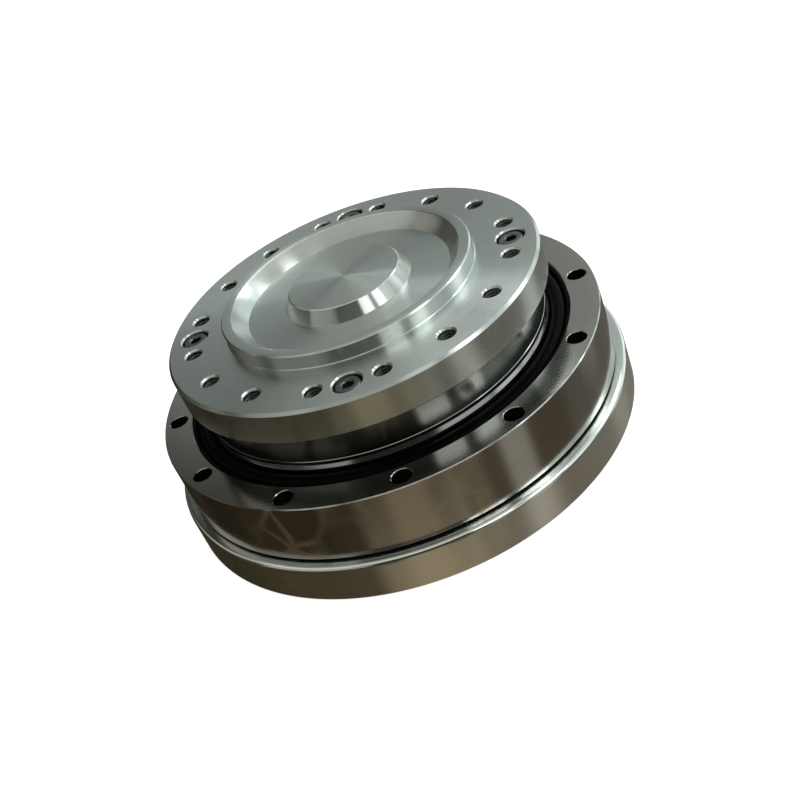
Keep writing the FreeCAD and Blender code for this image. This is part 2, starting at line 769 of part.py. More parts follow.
def make_ball_cage():
    """Oval cage ring with a pocket for every ball, open at the top so that the balls snap in."""
    ring = cut(
        "cage_ring",
        oval_disc("cage_blank", "cage_outer", "cage_foot", "cage_height"),
        oval_disc("cage_bore", "cage_inner", "cage_foot", "cage_height"),
    )
    pocket = doc.addObject("Part::Prism", "cage_pocket")
    pocket.Polygon = POCKET_FLATS
    bind(pocket, "Circumradius", "pocket_radius")
    bind(pocket, "Height", "2 * ball_radius")
    outwards = Vector(1, 0, 0)
    pocket.Placement = Placement(-outwards * value("ball_radius"), Rotation(UP, outwards))
    return cut("ball_cage", ring, group("cage_pockets", at_balls(pocket)))


def make_wave_plug():
    """Oval cam with a stepped bore for the coupling stack, slots for its tongues and a snap-ring groove."""
    slot_width = "tongue_width + tongue_play"
    return cut(
        "wave_plug",
        oval_disc("plug_blank", "plug_radius", "plug_foot", "plug_height"),
        rod("plug_bore", "stack_bore", "plug_foot", "stack_top - plug_foot"),
        rod("plug_shoulder", "stack_shoulder", "plug_foot", "plug_height"),
        rod("plug_groove", "snap_outer + tongue_play", f"{SNAP_TOP} - snap_height", "snap_height"),
        cross_bar(
            "plug_slots", "y", "plug_tongue + tongue_play", slot_width,
            "plug_foot", f"{INSERT_TOP} - plug_foot",
        ),
    )


def make_oldham_insert():
    """Coupling insert: tongues outwards to the plug, slots inwards for the hub."""
    ring = rod("insert_ring", "washer_outer", INSERT_FOOT, "insert_height")
    tongues = cross_bar("insert_tongues", "y", "plug_tongue", "tongue_width", INSERT_FOOT, "insert_height")
    return cut(
        "oldham_insert",
        fused("insert_blank", ring, tongues),
        rod("insert_bore", "washer_inner", INSERT_FOOT, "insert_height"),
        cross_bar(
            "insert_slots", "x", "hub_tongue + tongue_play", "tongue_width + tongue_play",
            INSERT_FOOT, "insert_height",
        ),
    )


def make_rub_washers():
    washers = doc.addObject("Part::Compound", "rub_washers")
    links = []
    for side, foot in (("upper", INSERT_TOP), ("lower", SNAP_TOP)):
        links.append(cut(
            f"{side}_washer",
            rod(f"{side}_washer_blank", "washer_outer", foot, "washer_thickness"),
            rod(f"{side}_washer_bore", "washer_inner", foot, "washer_thickness"),
        ))
    washers.Links = links
    return washers


def make_snap_ring():
    foot = f"{SNAP_TOP} - snap_height"
    return cut(
        "snap_ring",
        rod("snap_blank", "snap_outer", foot, "snap_height"),
        rod("snap_bore", "snap_inner", foot, "snap_height"),
        bar("snap_opening", "2 * snap_outer", "snap_gap", foot, "snap_height", "0", "-snap_gap / 2"),
    )


def make_input_hub():
    """Input sleeve with two tongues, the input bore and its keyway."""
    length = "hub_top - hub_foot"
    sleeve = rod("hub_sleeve", "hub_radius", "hub_foot", length)
    tongues = cross_bar(
        "hub_tongues", "x", "hub_tongue", "tongue_width",
        f"{INSERT_FOOT} + tongue_play", "insert_height - 2 * tongue_play",
    )
    return cut(
        "input_hub",
        fused("hub_blank", sleeve, tongues),
        rod("hub_bore", "input_bore", "hub_foot", length),
        bar("hub_keyway", "key_width", "key_reach", "hub_foot", length, "-key_width / 2", "0"),
    )


def check(item):
    """Stops the build if the object failed or its shape is unusable."""
    if {"Invalid", "Error"} & set(item.State):
        raise ValueError(f"{item.Name} is {item.State}")
    if item.isDerivedFrom("Part::Feature") and (item.Shape.isNull() or not item.Shape.isValid()):
        raise ValueError(f"{item.Name} has no valid shape")


subparts = [
    make_circular_spline(),
    make_bearing_outer_ring(),
    make_shaft_seal(),
    make_joint_seal(),
    screw_ring(
        "assembly_screws", "assembly_reach", "housing_circle", "assembly_seat",
        "assembly_count", ASSEMBLY_PHASE, False,
    ),
    make_output_flange(),
    screw_ring("flange_screws", "cap_reach", "output_circle", "cap_seat", "cap_count", "cap_phase", True),
    make_inner_ring_upper(),
    make_inner_ring_lower(),
    make_flexspline(),
    make_clamp_ring(),
    screw_ring("clamp_screws", "clamp_reach", "clamp_circle", "clamp_low", "clamp_count", "0", False),
    make_cross_rollers(),
    make_roller_spacers(),
    *make_races(),
    make_bearing_balls(),
    make_ball_cage(),
    make_wave_plug(),
    make_oldham_insert(),
    make_rub_washers(),
    make_snap_ring(),
    make_input_hub(),
]

doc.recompute()
for item in doc.Objects:
    check(item)

os.makedirs("parts", exist_ok=True)
for item in subparts:
    item.Shape.exportStep(f"parts/{item.Label}.step")
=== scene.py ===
"""Strain wave gearbox: the finished look of every piece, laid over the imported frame.

Sizes are in millimetres here and become metres when a mesh is made. The main axis is Z.
"""

import json
import math
from collections import namedtuple

import bmesh
import bpy
from mathutils import Matrix, Vector


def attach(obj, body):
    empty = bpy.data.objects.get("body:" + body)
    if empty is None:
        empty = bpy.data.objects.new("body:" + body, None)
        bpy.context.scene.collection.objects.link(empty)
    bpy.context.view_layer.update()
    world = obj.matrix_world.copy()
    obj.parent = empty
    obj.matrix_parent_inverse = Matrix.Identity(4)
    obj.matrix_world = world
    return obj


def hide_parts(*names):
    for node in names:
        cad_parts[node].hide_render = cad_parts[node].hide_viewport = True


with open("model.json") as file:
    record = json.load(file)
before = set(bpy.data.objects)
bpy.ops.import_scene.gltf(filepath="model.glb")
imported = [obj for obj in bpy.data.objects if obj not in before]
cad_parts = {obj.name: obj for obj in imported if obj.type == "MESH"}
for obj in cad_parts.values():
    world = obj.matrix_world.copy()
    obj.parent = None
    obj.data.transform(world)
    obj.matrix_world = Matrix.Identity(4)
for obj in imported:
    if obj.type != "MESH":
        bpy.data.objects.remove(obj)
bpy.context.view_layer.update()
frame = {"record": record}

MM = 0.001
FACETS = 288  # round the main axis
FINE, SMALL = 96, 48  # round a small turned piece, and round a hole or screw
SHARP = math.radians(27)  # a steeper turn between two faces stays a sharp edge

# Heights and radii that several pieces share
BASE_TOP, RING_TOP = 11.3, 29.8
HOUSING_BORE, SEAL_BORE, SEAL_SEAT = 54.4, 57.5, 26.0
GROOVE_FLOOR, GROOVE_TOP = 64.7, 12.0  # of the joint seal
ROLLER_CIRCLE, ROLLER_LEVEL, ROLLER_RADIUS = 54.0, 19.5, 2.5
TRACK_REACH = (ROLLER_RADIUS + 0.04) * math.sqrt(2)  # from the roller circle to a track's corner
TRACK_THROAT = TRACK_REACH - 0.4
INNER_BORE, INNER_TOP, INNER_OUTSIDE = 43.0, 32.3, 53.6
FLANGE_LOW, FLANGE_TOP, BOSS_TOP = 41.8, 51.2, 55.5
CUP_CEILING, DIAPHRAGM_LOW, CLAMP_LOW = 36.6, 33.4, 30.6
CLAMP_BORE, CLAMP_OUTSIDE = 9.1, 16.0
PLUG_LOW, PLUG_TOP, PLUG_OUTSIDE = 3.2, 11.2, 31.2
BALL_CIRCLE, BALL_LEVEL = 35.3, 7.2
WAVE = 0.8  # how far the oval's long side stands out from its circle

# The stack in the plug, from below: snap ring, washer, insert, washer
SNAP_LOW, SNAP_TOP, INSERT_LOW, INSERT_TOP, STACK_TOP = 4.3, 5.3, 5.8, 9.5, 10.0
STACK_BORE, STACK_OUTSIDE, PLUG_RECESS = 11.2, 15.8, 16.0
TONGUE, SLOT = 6.0, 6.1  # widths

# Teeth of cup and bottom flange
MODULE, FLANK_SLOPE = 0.8, math.tan(math.radians(25))
TOOTH_QUARTER = MODULE * math.pi / 4  # half a tooth's width at the pitch circle
TOOTH_LOW, TOOTH_HIGH = 2.8, 11.2

# Screws, and the radii of through holes, clearance holes and threaded holes
SHANK, HEAD, HEAD_HEIGHT = 1.8, 3.5, 4.0
THROUGH, CLEARANCE, CORE = 2.75, 2.4, 1.85
CAP_SEAT, ASSEMBLY_SEAT = 46.7, 4.4

# Rings of holes: count, circle radius and the angle of the first one
HOUSING_HOLES = {"Count": 12, "Circle": 61.6, "Phase": -5.6}
ASSEMBLY_HOLES = {"Count": 4, "Circle": 61.6, "Phase": 9.4}
TAPPED_HOLES = {"Count": 16, "Circle": 47.0, "Phase": -0.16}
CAP_HOLES = {"Count": 4, "Circle": 47.0, "Phase": -11.41}
CLAMP_HOLES = {"Count": 6, "Circle": 12.5, "Phase": 0.0}


class Wire:
    """A node's output, so that node maths reads as a plain expression."""

    def __init__(self, board, socket):
        self.board, self.socket = board, socket

    def output(self, name):
        return Wire(self.board, self.board.find(self.socket.node.outputs, name))

    def __add__(self, other):
        return self.board.math("ADD", self, other)

    def __radd__(self, other):
        return self.board.math("ADD", other, self)

    def __sub__(self, other):
        return self.board.math("SUBTRACT", self, other)

    def __rsub__(self, other):
        return self.board.math("SUBTRACT", other, self)

    def __mul__(self, other):
        return self.board.math("MULTIPLY", self, other)

    def __rmul__(self, other):
        return self.board.math("MULTIPLY", other, self)

    def __truediv__(self, other):
        return self.board.math("DIVIDE", self, other)

    def __rtruediv__(self, other):
        return self.board.math("DIVIDE", other, self)

    def __mod__(self, other):
        return self.board.math("MODULO", self, other)

    def __pow__(self, other):
        return self.board.math("POWER", self, other)


class Board:
    """A node tree that is being wired."""

    def __init__(self, tree):
        self.tree = tree

    @staticmethod
    def find(sockets, name):
        if isinstance(name, int):
            return sockets[name]
        return next(s for s in sockets if name in (s.identifier, s.name))

    def feed(self, node, name, given):
        """Sets or links one input; a list links several wires to it."""
        socket = self.find(node.inputs, name)
        for item in given if isinstance(given, list) else [given]:
            if isinstance(item, Wire):
                self.tree.links.new(item.socket, socket)
            elif socket.type == "RGBA":
                socket.default_value = (*item[:3], 1.0)
            else:
                socket.default_value = item

    def add(self, kind, sockets=None, output=0, **settings):
        """A node of one type: its settings first, then its inputs; gives back one of its outputs."""
        node = self.tree.nodes.new(kind)
        for name, setting in settings.items():
            setattr(node, name, setting)
        for name, given in (sockets or {}).items():
            self.feed(node, name, given)
        return Wire(self, self.find(node.outputs, output)) if node.outputs else node

    def math(self, operation, *given):
        return self.add("ShaderNodeMath", dict(enumerate(given)), operation=operation)

    def vector(self, x, y, z):
        return self.add("ShaderNodeCombineXYZ", {"X": x, "Y": y, "Z": z})

    def mix(self, share, low, high):
        """From one colour to the other."""
        sockets = {"Factor_Float": share, "A_Color": low, "B_Color": high}
        return self.add("ShaderNodeMix", sockets, "Result_Color", data_type="RGBA")

    def noise(self, place, scale, detail=2.0, roughness=0.5):
        sockets = {"Vector": place, "Scale": scale, "Detail": detail, "Roughness": roughness}
        return self.add("ShaderNodeTexNoise", sockets, "Fac")

    def fade(self, given, start, end):
        """0 at the start, 1 at the end, with soft ends."""
        sockets = {"Value": given, "From Min": start, "From Max": end}
        return self.add("ShaderNodeMapRange", sockets, interpolation_type="SMOOTHSTEP")


# Turned sections

BESIDE = 1.2  # where a loop lies beside a curved edge, so that the flat next to it shades flat


def eased(corners, steps):
    """A section whose corners are cut back by their own length, straight or along a short curve."""
    corners = [(*corner, 0.0, 0.0)[:4] for corner in corners]
    spots = [Vector((radius, height, wave)) for radius, height, _, wave in corners]
    line = []
    for number, spot in enumerate(spots):
        ease = corners[number][2]
        if not ease:
            line.append(spot)
            continue
        before = (spots[number - 1] - spot).normalized()
        after = (spots[(number + 1) % len(spots)] - spot).normalized()
        start, end = spot + before * ease, spot + after * ease
        if steps > 1:
            line.append(spot + before * ease * BESIDE)
        for step in range(steps + 1):
            share = step / steps
            line.append(start.lerp(spot, share).lerp(spot.lerp(end, share), share))
        if steps > 1:
            line.append(spot + after * ease * BESIDE)
    return line


def turned(name, corners, steps=1, facets=FACETS):
    """A closed mesh turned about Z from corners of radius, height, edge and wave.

    The wave makes it oval.
    """
    turns = [math.tau * facet / facets for facet in range(facets)]
    shape = bmesh.new()
    loops = []
    for radius, height, wave in eased(corners, steps):
        if radius == 0:
            loops.append([shape.verts.new((0, 0, height * MM))] * facets)
            continue
        long_side, short_side = (radius + wave) * MM, (radius - wave) * MM
        loops.append([
            shape.verts.new((long_side * math.cos(turn), short_side * math.sin(turn), height * MM))
            for turn in turns
        ])
    for low, high in zip(loops, loops[1:] + loops[:1]):
        for facet in range(facets):
            rim = dict.fromkeys([low[facet - 1], low[facet], high[facet], high[facet - 1]])
            if len(rim) > 2:
                shape.faces.new(list(rim))
    return meshed(name, shape)


def prism(name, outline, low, high):
    """A straight bar raised from an outline of x and y."""
    shape = bmesh.new()
    floor = [shape.verts.new((x * MM, y * MM, low * MM)) for x, y in outline]
    roof = [shape.verts.new((x * MM, y * MM, high * MM)) for x, y in outline]
    shape.faces.new(floor)
    shape.faces.new(roof)
    for number in range(len(outline)):
        shape.faces.new([floor[number - 1], floor[number], roof[number], roof[number - 1]])
    return meshed(name, shape)


def block(name, start_x, end_x, width, low, high):
    """A bar along X."""
    half = width / 2
    return prism(name, [(start_x, -half), (end_x, -half), (end_x, half), (start_x, half)], low, high)


def meshed(name, shape):
    """The mesh of a finished shape, faces outwards."""
    bmesh.ops.recalc_face_normals(shape, faces=shape.faces)
    mesh = bpy.data.meshes.new(name)
    shape.to_mesh(mesh)
    shape.free()
    return mesh


# Trees that repeat a shape

RING = {"Count": "Int", "Circle": "Float", "Phase": "Float"}
OVAL = {**RING, "Wave": "Float"}


def new_tree(name, sizes):
    """An empty tree with named inputs, and a function that gives an input's wire."""
    tree = bpy.data.node_groups.new(name, "GeometryNodeTree")
    for label, kind in {"Geometry": "Geometry", **sizes, "Material": "Material"}.items():
        tree.interface.new_socket(label, in_out="INPUT", socket_type=f"NodeSocket{kind}")
    tree.interface.new_socket("Geometry", in_out="OUTPUT", socket_type="NodeSocketGeometry")
    board = Board(tree)
    return board, board.add("NodeGroupInput").output


def close_tree(board, given, shape):
    """Real geometry with its material, handed to the tree's output."""
    solid = board.add("GeometryNodeRealizeInstances", {"Geometry": shape})
    sockets = {"Geometry": solid, "Material": given("Material")}
    finished = board.add("GeometryNodeSetMaterial", sockets)
    board.add("NodeGroupOutput", {"Geometry": finished})
    return board.tree


def ring_spots(board, given):
    """Points in equal steps round a circle: the points, the number of each and the way it faces."""
    number = board.add("GeometryNodeInputIndex")
    turn = number * (math.tau / given("Count")) + given("Phase")
    x = board.math("COSINE", turn) * given("Circle")
    y = board.math("SINE", turn) * given("Circle")
    places = {"Count": given("Count"), "Position": board.vector(x, y, 0.0)}
    return board.add("GeometryNodePoints", places), number, turn


def oval_spots(board, given):
    """Points of a circle after the wave has bent it into an oval without stretching it."""
    number = board.add("GeometryNodeInputIndex")
    turn = number * (math.tau / given("Count")) + given("Phase")
    swing = board.math("SINE", turn * 2.0) * given("Wave") / given("Circle")
    angle = turn - swing / 2.0
    reach = board.math("COSINE", angle * 2.0) * given("Wave") + given("Circle")
    x = board.math("COSINE", angle) * reach
    y = board.math("SINE", angle) * reach
    places = {"Count": given("Count"), "Position": board.vector(x, y, 0.0)}
    return board.add("GeometryNodePoints", places), number, turn + swing * 1.5


def copies(board, points, shape, facing, lean=0.0):
    """The shape on every point, turned to its own way."""
    turn = board.vector(0.0, lean, facing)
    sockets = {"Points": points, "Instance": shape, "Rotation": turn}
    return board.add("GeometryNodeInstanceOnPoints", sockets)


def raised(board, shape, height):
    """The shape, moved up."""
    sockets = {"Geometry": shape, "Translation": board.vector(0.0, 0.0, height)}
    return board.add("GeometryNodeTransform", sockets)


def tool_ring_tree(name, operation, sizes, spots):
    """A blank that a ring of equal tools cuts, or that a ring of equal teeth joins."""
    board, given = new_tree(name, {"Tool": "Object", **sizes})
    points, _, facing = spots(board, given)
    tool = board.add("GeometryNodeObjectInfo", {"Object": given("Tool")}, "Geometry")
    tools = copies(board, points, tool, facing)
    tools = board.add("GeometryNodeRealizeInstances", {"Geometry": tools})
    if operation == "DIFFERENCE":
        sockets = {"Mesh 1": given("Geometry"), "Mesh 2": tools}
    else:
        sockets = {"Mesh 2": [given("Geometry"), tools]}
    shape = board.add("GeometryNodeMeshBoolean", sockets, "Mesh", operation=operation, solver="EXACT")
    return close_tree(board, given, shape)


def screw_tree():
    """Turned screw blanks get a hexagon socket and are set round a circle, heads up or down."""
    board, given = new_tree("socket_screws", {
        **RING, "Socket": "Float", "Socket Depth": "Float", "Head": "Float",
        "Seat": "Float", "Tilt": "Float",
    })
    hexagon = {"Vertices": 6, "Radius": given("Socket"), "Depth": given("Socket Depth") * 2.0}
    key = board.add("GeometryNodeMeshCylinder", hexagon, "Mesh")
    key = raised(board, key, given("Head"))
    wide, narrow, deep, low = 1.16, 0.8, 0.36, 0.3  # the socket's bevelled mouth, in socket radii
    bevel = {
        "Vertices": SMALL,
        "Radius Top": given("Socket") * wide,
        "Radius Bottom": given("Socket") * narrow,
        "Depth": given("Socket") * deep,
    }
    mouth = board.add("GeometryNodeMeshCone", bevel, "Mesh")
    mouth = raised(board, mouth, given("Head") - given("Socket") * low)
    sockets = {"Mesh 1": given("Geometry"), "Mesh 2": [key, mouth]}
    screw = board.add(
        "GeometryNodeMeshBoolean", sockets, "Mesh", operation="DIFFERENCE", solver="EXACT",
    )
    screw = board.add("GeometryNodeTransform", {
        "Geometry": screw,
        "Translation": board.vector(0.0, 0.0, given("Seat")),
        "Rotation": board.vector(given("Tilt"), 0.0, 0.0),
    })
    points, _, facing = ring_spots(board, given)
    return close_tree(board, given, copies(board, points, screw, facing))


def thread_tree():
    """A ring of screw threads: in each hole a pointed ridge that winds down from the mouth."""
    board, given = new_tree("hole_threads", {
        **RING, "Root": "Float", "Ridge": "Float", "Turns": "Float", "Length": "Float",
        "Bottom": "Float",
    })
    steps_per_turn, corners = 28, 4
    winding = {
        "Resolution": steps_per_turn, "Rotations": given("Turns"), "Start Radius": given("Root"),
        "End Radius": given("Root"), "Height": given("Length"),
    }
    path = board.add("GeometryNodeCurveSpiral", winding)
    path = board.add("GeometryNodeSetCurveNormal", {"Curve": path}, mode="Z_UP")
    outline = {"Resolution": corners, "Radius": given("Ridge")}
    section = board.add("GeometryNodeCurvePrimitiveCircle", outline, "Curve")
    ridge = {"Curve": path, "Profile Curve": section, "Fill Caps": True}
    ridge = board.add("GeometryNodeCurveToMesh", ridge)
    ridge = raised(board, ridge, given("Bottom"))
    points, _, facing = ring_spots(board, given)
    return close_tree(board, given, copies(board, points, ridge, facing))


def roller_tree():
    """Pieces round the track, every second one leaning the other way."""
    sizes = {**RING, "Level": "Float", "Lean": "Float", "Other Lean": "Float"}
    board, given = new_tree("crossed_row", sizes)
    points, number, facing = ring_spots(board, given)
    lean = given("Lean") + number % 2.0 * (given("Other Lean") - given("Lean"))
    row = copies(board, points, given("Geometry"), facing, lean)
    return close_tree(board, given, raised(board, row, given("Level")))


def ball_tree():
    """A row of balls along the oval track."""
    board, given = new_tree("oval_ball_row", {**OVAL, "Ball": "Float", "Level": "Float"})
    round_ball = {"Segments": 40, "Rings": 20, "Radius": given("Ball")}
    ball = board.add("GeometryNodeMeshUVSphere", round_ball, "Mesh")
    points, _, facing = oval_spots(board, given)
    row = copies(board, points, ball, facing)
    return close_tree(board, given, raised(board, row, given("Level")))


CUT_RING = tool_ring_tree("cut_ring", "DIFFERENCE", RING, ring_spots)
JOIN_RING = tool_ring_tree("join_ring", "UNION", RING, ring_spots)
CUT_OVAL = tool_ring_tree("cut_oval", "DIFFERENCE", OVAL, oval_spots)
JOIN_OVAL = tool_ring_tree("join_oval", "UNION", OVAL, oval_spots)
SCREWS, THREADS, ROLLERS, BALLS = screw_tree(), thread_tree(), roller_tree(), ball_tree()

# Tree inputs that are angles, and those that are plain numbers; all others are lengths
ANGLES = {"Phase", "Tilt", "Lean", "Other Lean"}
PLAIN = {"Count", "Turns"}
OVERSHOOT = 0.5  # how far a drill runs past a hole's ends


def placed(name, data):
    """A new object in the scene."""
    thing = bpy.data.objects.new(name, data)
    bpy.context.scene.collection.objects.link(thing)
    return thing


def grown(tree, seed, material, tool=None, **sizes):
    """The plain mesh that a tree makes from a seed; sizes are in millimetres and degrees."""
    holder = placed("seed", seed)
    given = {"Material": material}
    if tool:
        given["Tool"] = placed("tool", tool)
    for label, size in sizes.items():
        label = label.replace("_", " ")
        if label in ANGLES:
            given[label] = math.radians(size)
        else:
            given[label] = size if label in PLAIN else size * MM
    modifier = holder.modifiers.new("shape", "NODES")
    modifier.node_group = tree
    for socket in tree.interface.items_tree:
        if socket.in_out == "INPUT" and socket.name in given:
            modifier[socket.identifier] = given[socket.name]
    view = bpy.context.evaluated_depsgraph_get()
    mesh = bpy.data.meshes.new_from_object(holder.evaluated_get(view), depsgraph=view)
    for spent in filter(None, (holder, given.get("Tool"))):
        bpy.data.objects.remove(spent)
    return mesh


def drilled(blank, material, ring, wall):
    """The blank with a ring of holes, each turned from a wall of radii and heights, mouth first.

    A wall that ends at radius zero is a pointed blind hole.
    """
    (mouth, top), (end, bottom) = wall[0], wall[-1]
    over = [(0, top + OVERSHOOT), (mouth, top + OVERSHOOT)]
    under = [(end, bottom - OVERSHOOT), (0, bottom - OVERSHOOT)] if end else []
    cutter = turned("cutter", [*over, *wall, *under], facets=SMALL)
    return grown(CUT_RING, blank, material, cutter, **ring)


def joined(*meshes):
    """Several meshes as one."""
    shape = bmesh.new()
    for mesh in meshes:
        shape.from_mesh(mesh)
    whole = bpy.data.meshes.new(meshes[0].name)
    shape.to_mesh(whole)
    shape.free()
    for material in meshes[0].materials:
        whole.materials.append(material)
    return whole


def show(name, node, mesh, material):
    """Puts a finished mesh with its material in the place of a CAD node, on the same body."""
    if not mesh.materials:
        mesh.materials.append(material)
    mesh.shade_smooth()
    mesh.set_sharp_from_angle(angle=SHARP)
    piece = placed(name, mesh)
    record = frame["record"]
    bodies = record["behaviour"]["bodies"]
    body = next(body for body, nodes in bodies.items() if node in nodes)
    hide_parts(node)
    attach(piece, body)


# Finishes

Spot = namedtuple("Spot", "place x y radius height")
# A band of heights that is smoother and takes a painted tint: painted shade under the output flange,
# painted highlight on the bottom flange's ledge
SmoothPaintedZone = namedtuple("SmoothPaintedZone", "start end tint less")  # heights, painted tint and roughness taken off
DARK, LIGHT = 0.84, 1.12  # how far a steel's tone goes below and above its tint
# Width and colour of the light edges: rubbed bare steel, and partly a painted highlight line
RUBBED_AND_HIGHLIT_WIDTH, RUBBED_AND_HIGHLIT_STEEL = 0.6, (0.76, 0.77, 0.75)
# Brown of an oil film, and the near-black painted shade on the walls of holes
OIL_BROWN, HOLE_SHADE = (0.36, 0.26, 0.11), (0.05, 0.05, 0.047)
STAIN = (0.76, 0.70, 0.58)  # share of the tint that a stain leaves


def new_finish(name, constants):
    """A material whose constants are set on the shader, its board and a way to feed the shader."""
    material = bpy.data.materials.new(name)
    material.use_nodes = True
    board = Board(material.node_tree)
    shader = material.node_tree.nodes["Principled BSDF"]
    for socket, setting in constants.items():
        board.feed(shader, socket, setting)
    return material, board, lambda socket, wire: board.feed(shader, socket, wire)


def turning_spot(board):
    """Where a point lies on a turned piece."""
    place = board.add("ShaderNodeTexCoord", output="Object")
    split = board.add("ShaderNodeSeparateXYZ", {"Vector": place})
    x, y = split.output("X"), split.output("Y")
    return Spot(place, x, y, (x * x + y * y) ** 0.5, split.output("Z"))


def worn_and_highlit_edges(board, spot, corners, width):
    """1 along the eased edges of a section, fading to 0 over a width."""
    mask = None
    for radius, height, *ease in corners:
        if not ease or not ease[0]:
            continue
        across, up = spot.radius - radius * MM, spot.height - height * MM
        near = board.fade((across * across + up * up) ** 0.5, width * MM, 0.0)
        mask = near if mask is None else board.math("MAXIMUM", mask, near)
    return mask


def shade(tint, level):
    """A tint made darker or lighter."""
    return tuple(part * level for part in tint)


# The mask of the painted shade inside a ring of holes
def inside_holes(board, spot, low, high, mouth):
    """1 on the walls of a ring of holes between two radii, below their mouths."""
    soft, shade_start, full_shade = 0.1, 0.4, 1.2  # width of the ends; depths where the painted shade starts and is full
    across = board.fade(spot.radius, (low - soft) * MM, (low + soft) * MM)
    across = across * board.fade(spot.radius, (high + soft) * MM, (high - soft) * MM)
    return across * board.fade(spot.height, (mouth - shade_start) * MM, (mouth - full_shade) * MM)


def dried_oil(board, spot, wall):
    """1 on the brown seams of an oil film that has drawn apart on one side of an outer wall."""
    bending = {"Vector": spot.place, "Scale": 90.0, "Detail": 3.0}
    drift = board.add("ShaderNodeTexNoise", bending, "Color")
    bend = {0: drift, 1: (6 * MM, 6 * MM, 6 * MM), 2: spot.place}
    bent = board.add("ShaderNodeVectorMath", bend, operation="MULTIPLY_ADD")
    cells = {"Vector": bent, "Scale": 84.0}
    gap = board.add("ShaderNodeTexVoronoi", cells, "Distance", feature="DISTANCE_TO_EDGE")
    film = board.fade(gap, 0.12, 0.0) * board.fade(board.noise(spot.place, 30, 3.0), 0.36, 0.62)
    film = film * board.fade(spot.x, 16 * MM, 4 * MM) * board.fade(spot.x, -52 * MM, -36 * MM)
    film = film * board.fade(spot.y, 0.0, -20 * MM)
    return film * board.fade(spot.radius, (wall - 0.1) * MM, wall * MM)


def turned_steel(
    name, tint, rough, corners, anisotropy, haze=0.05, holes=None, smears=None, smooth_painted_zone=None
):
    """Steel from the lathe: feed marks round the axis, slow bands, handling haze, and rubbed edges
    that also carry a painted highlight.

    Holes are the radii and mouth of holes with painted shade on their walls, smears the radius of an
    oily wall.
    """
    material, board, shader = new_finish(name, {
        "Metallic": 1.0, "Anisotropic": anisotropy, "Anisotropic Rotation": 0.25,
    })
    spot = turning_spot(board)
    section = board.vector(spot.radius, spot.height, 0.0)
    feed = board.noise(section, 3600, 2.0, 0.6)
    bands = board.noise(section, 420, 3.0, 0.6)
    clouds = board.noise(spot.place, 38, 4.0, 0.6)
    prints = board.fade(board.noise(spot.place, 150, 5.0, 0.65), 0.54, 0.74)
    way_x, way_y = spot.x / spot.radius, spot.y / spot.radius
    lengthwise = board.vector(way_x * 0.9, way_y * 0.9, spot.height * 6.0)
    streaks = board.noise(lengthwise, 14, 5.0, 0.7)
    tone = bands * 0.4 + clouds * 0.3 + streaks * 0.3
    colour = board.mix(tone, shade(tint, DARK), shade(tint, LIGHT))
    stained = board.fade(board.noise(spot.place, 24, 5.0, 0.6), 0.56, 0.78)
    stain = tuple(part * left for part, left in zip(tint, STAIN))
    colour = board.mix(stained * 0.3, colour, stain)
    roughness = rough + (feed - 0.5) * 0.05 + (clouds - 0.5) * haze
    roughness = roughness + prints * 0.012 + (streaks - 0.5) * 0.03
    if smooth_painted_zone:
        smooth = board.fade(spot.height, smooth_painted_zone.start * MM, smooth_painted_zone.end * MM)
        roughness = roughness - smooth * smooth_painted_zone.less
        # painted tone: a darker painted shade on the neck under the output flange, a lighter, bluer
        # painted highlight on the bottom flange's ledge
        bare = board.mix(tone, shade(smooth_painted_zone.tint, DARK), shade(smooth_painted_zone.tint, LIGHT))
        colour = board.mix(smooth, colour, bare)
    if smears:
        film = dried_oil(board, spot, smears)
        colour = board.mix(film * 0.8, colour, OIL_BROWN)
        roughness = roughness + film * 0.05
        shader("Metallic", 1.0 - film * 0.5)
    # partly rubbed wear, partly a painted highlight: a light line along every eased edge, concave
    # corners too
    worn_and_lit = worn_and_highlit_edges(board, spot, corners, RUBBED_AND_HIGHLIT_WIDTH)
    if worn_and_lit is not None:
        rubbed = worn_and_lit * board.fade(board.noise(spot.place, 420, 3.0), 0.30, 0.62)
        colour = board.mix(rubbed * 0.6, colour, RUBBED_AND_HIGHLIT_STEEL)
        roughness = roughness - rubbed * 0.05
    # painted shade: the walls of the holes go near-black below their mouths
    if holes:
        hole_shade = inside_holes(board, spot, *holes)
        colour = board.mix(hole_shade * 0.94, colour, HOLE_SHADE)
        roughness = roughness + hole_shade * 0.1
    shader("Base Color", colour)
    shader("Roughness", roughness)
    shader("Normal", relief(board, feed * 0.6 + bands * 0.4, 0.06, 0.02))
    return material


def relief(board, height, strength, depth):
    """A bump of a depth in millimetres."""
    sockets = {"Strength": strength, "Distance": depth * MM, "Height": height}
    return board.add("ShaderNodeBump", sockets)


def ground_steel(name, tint, rough):
    """Hardened steel, ground and polished: fine lines round the axis and a little oil haze."""
    material, board, shader = new_finish(name, {"Metallic": 1.0})
    spot = turning_spot(board)
    section = board.vector(spot.radius, spot.height, 0.0)
    lines = board.noise(section, 5200, 2.0, 0.7)
    oil = board.noise(spot.place, 60, 4.0, 0.6)
    prints = board.fade(board.noise(spot.place, 240, 4.0, 0.6), 0.5, 0.7)
    shader("Base Color", board.mix(oil, shade(tint, 0.82), shade(tint, LIGHT)))
    shader("Roughness", rough + (lines - 0.5) * 0.06 + oil * 0.06 + prints * 0.05)
    shader("Normal", relief(board, lines, 0.06, 0.01))
    return material


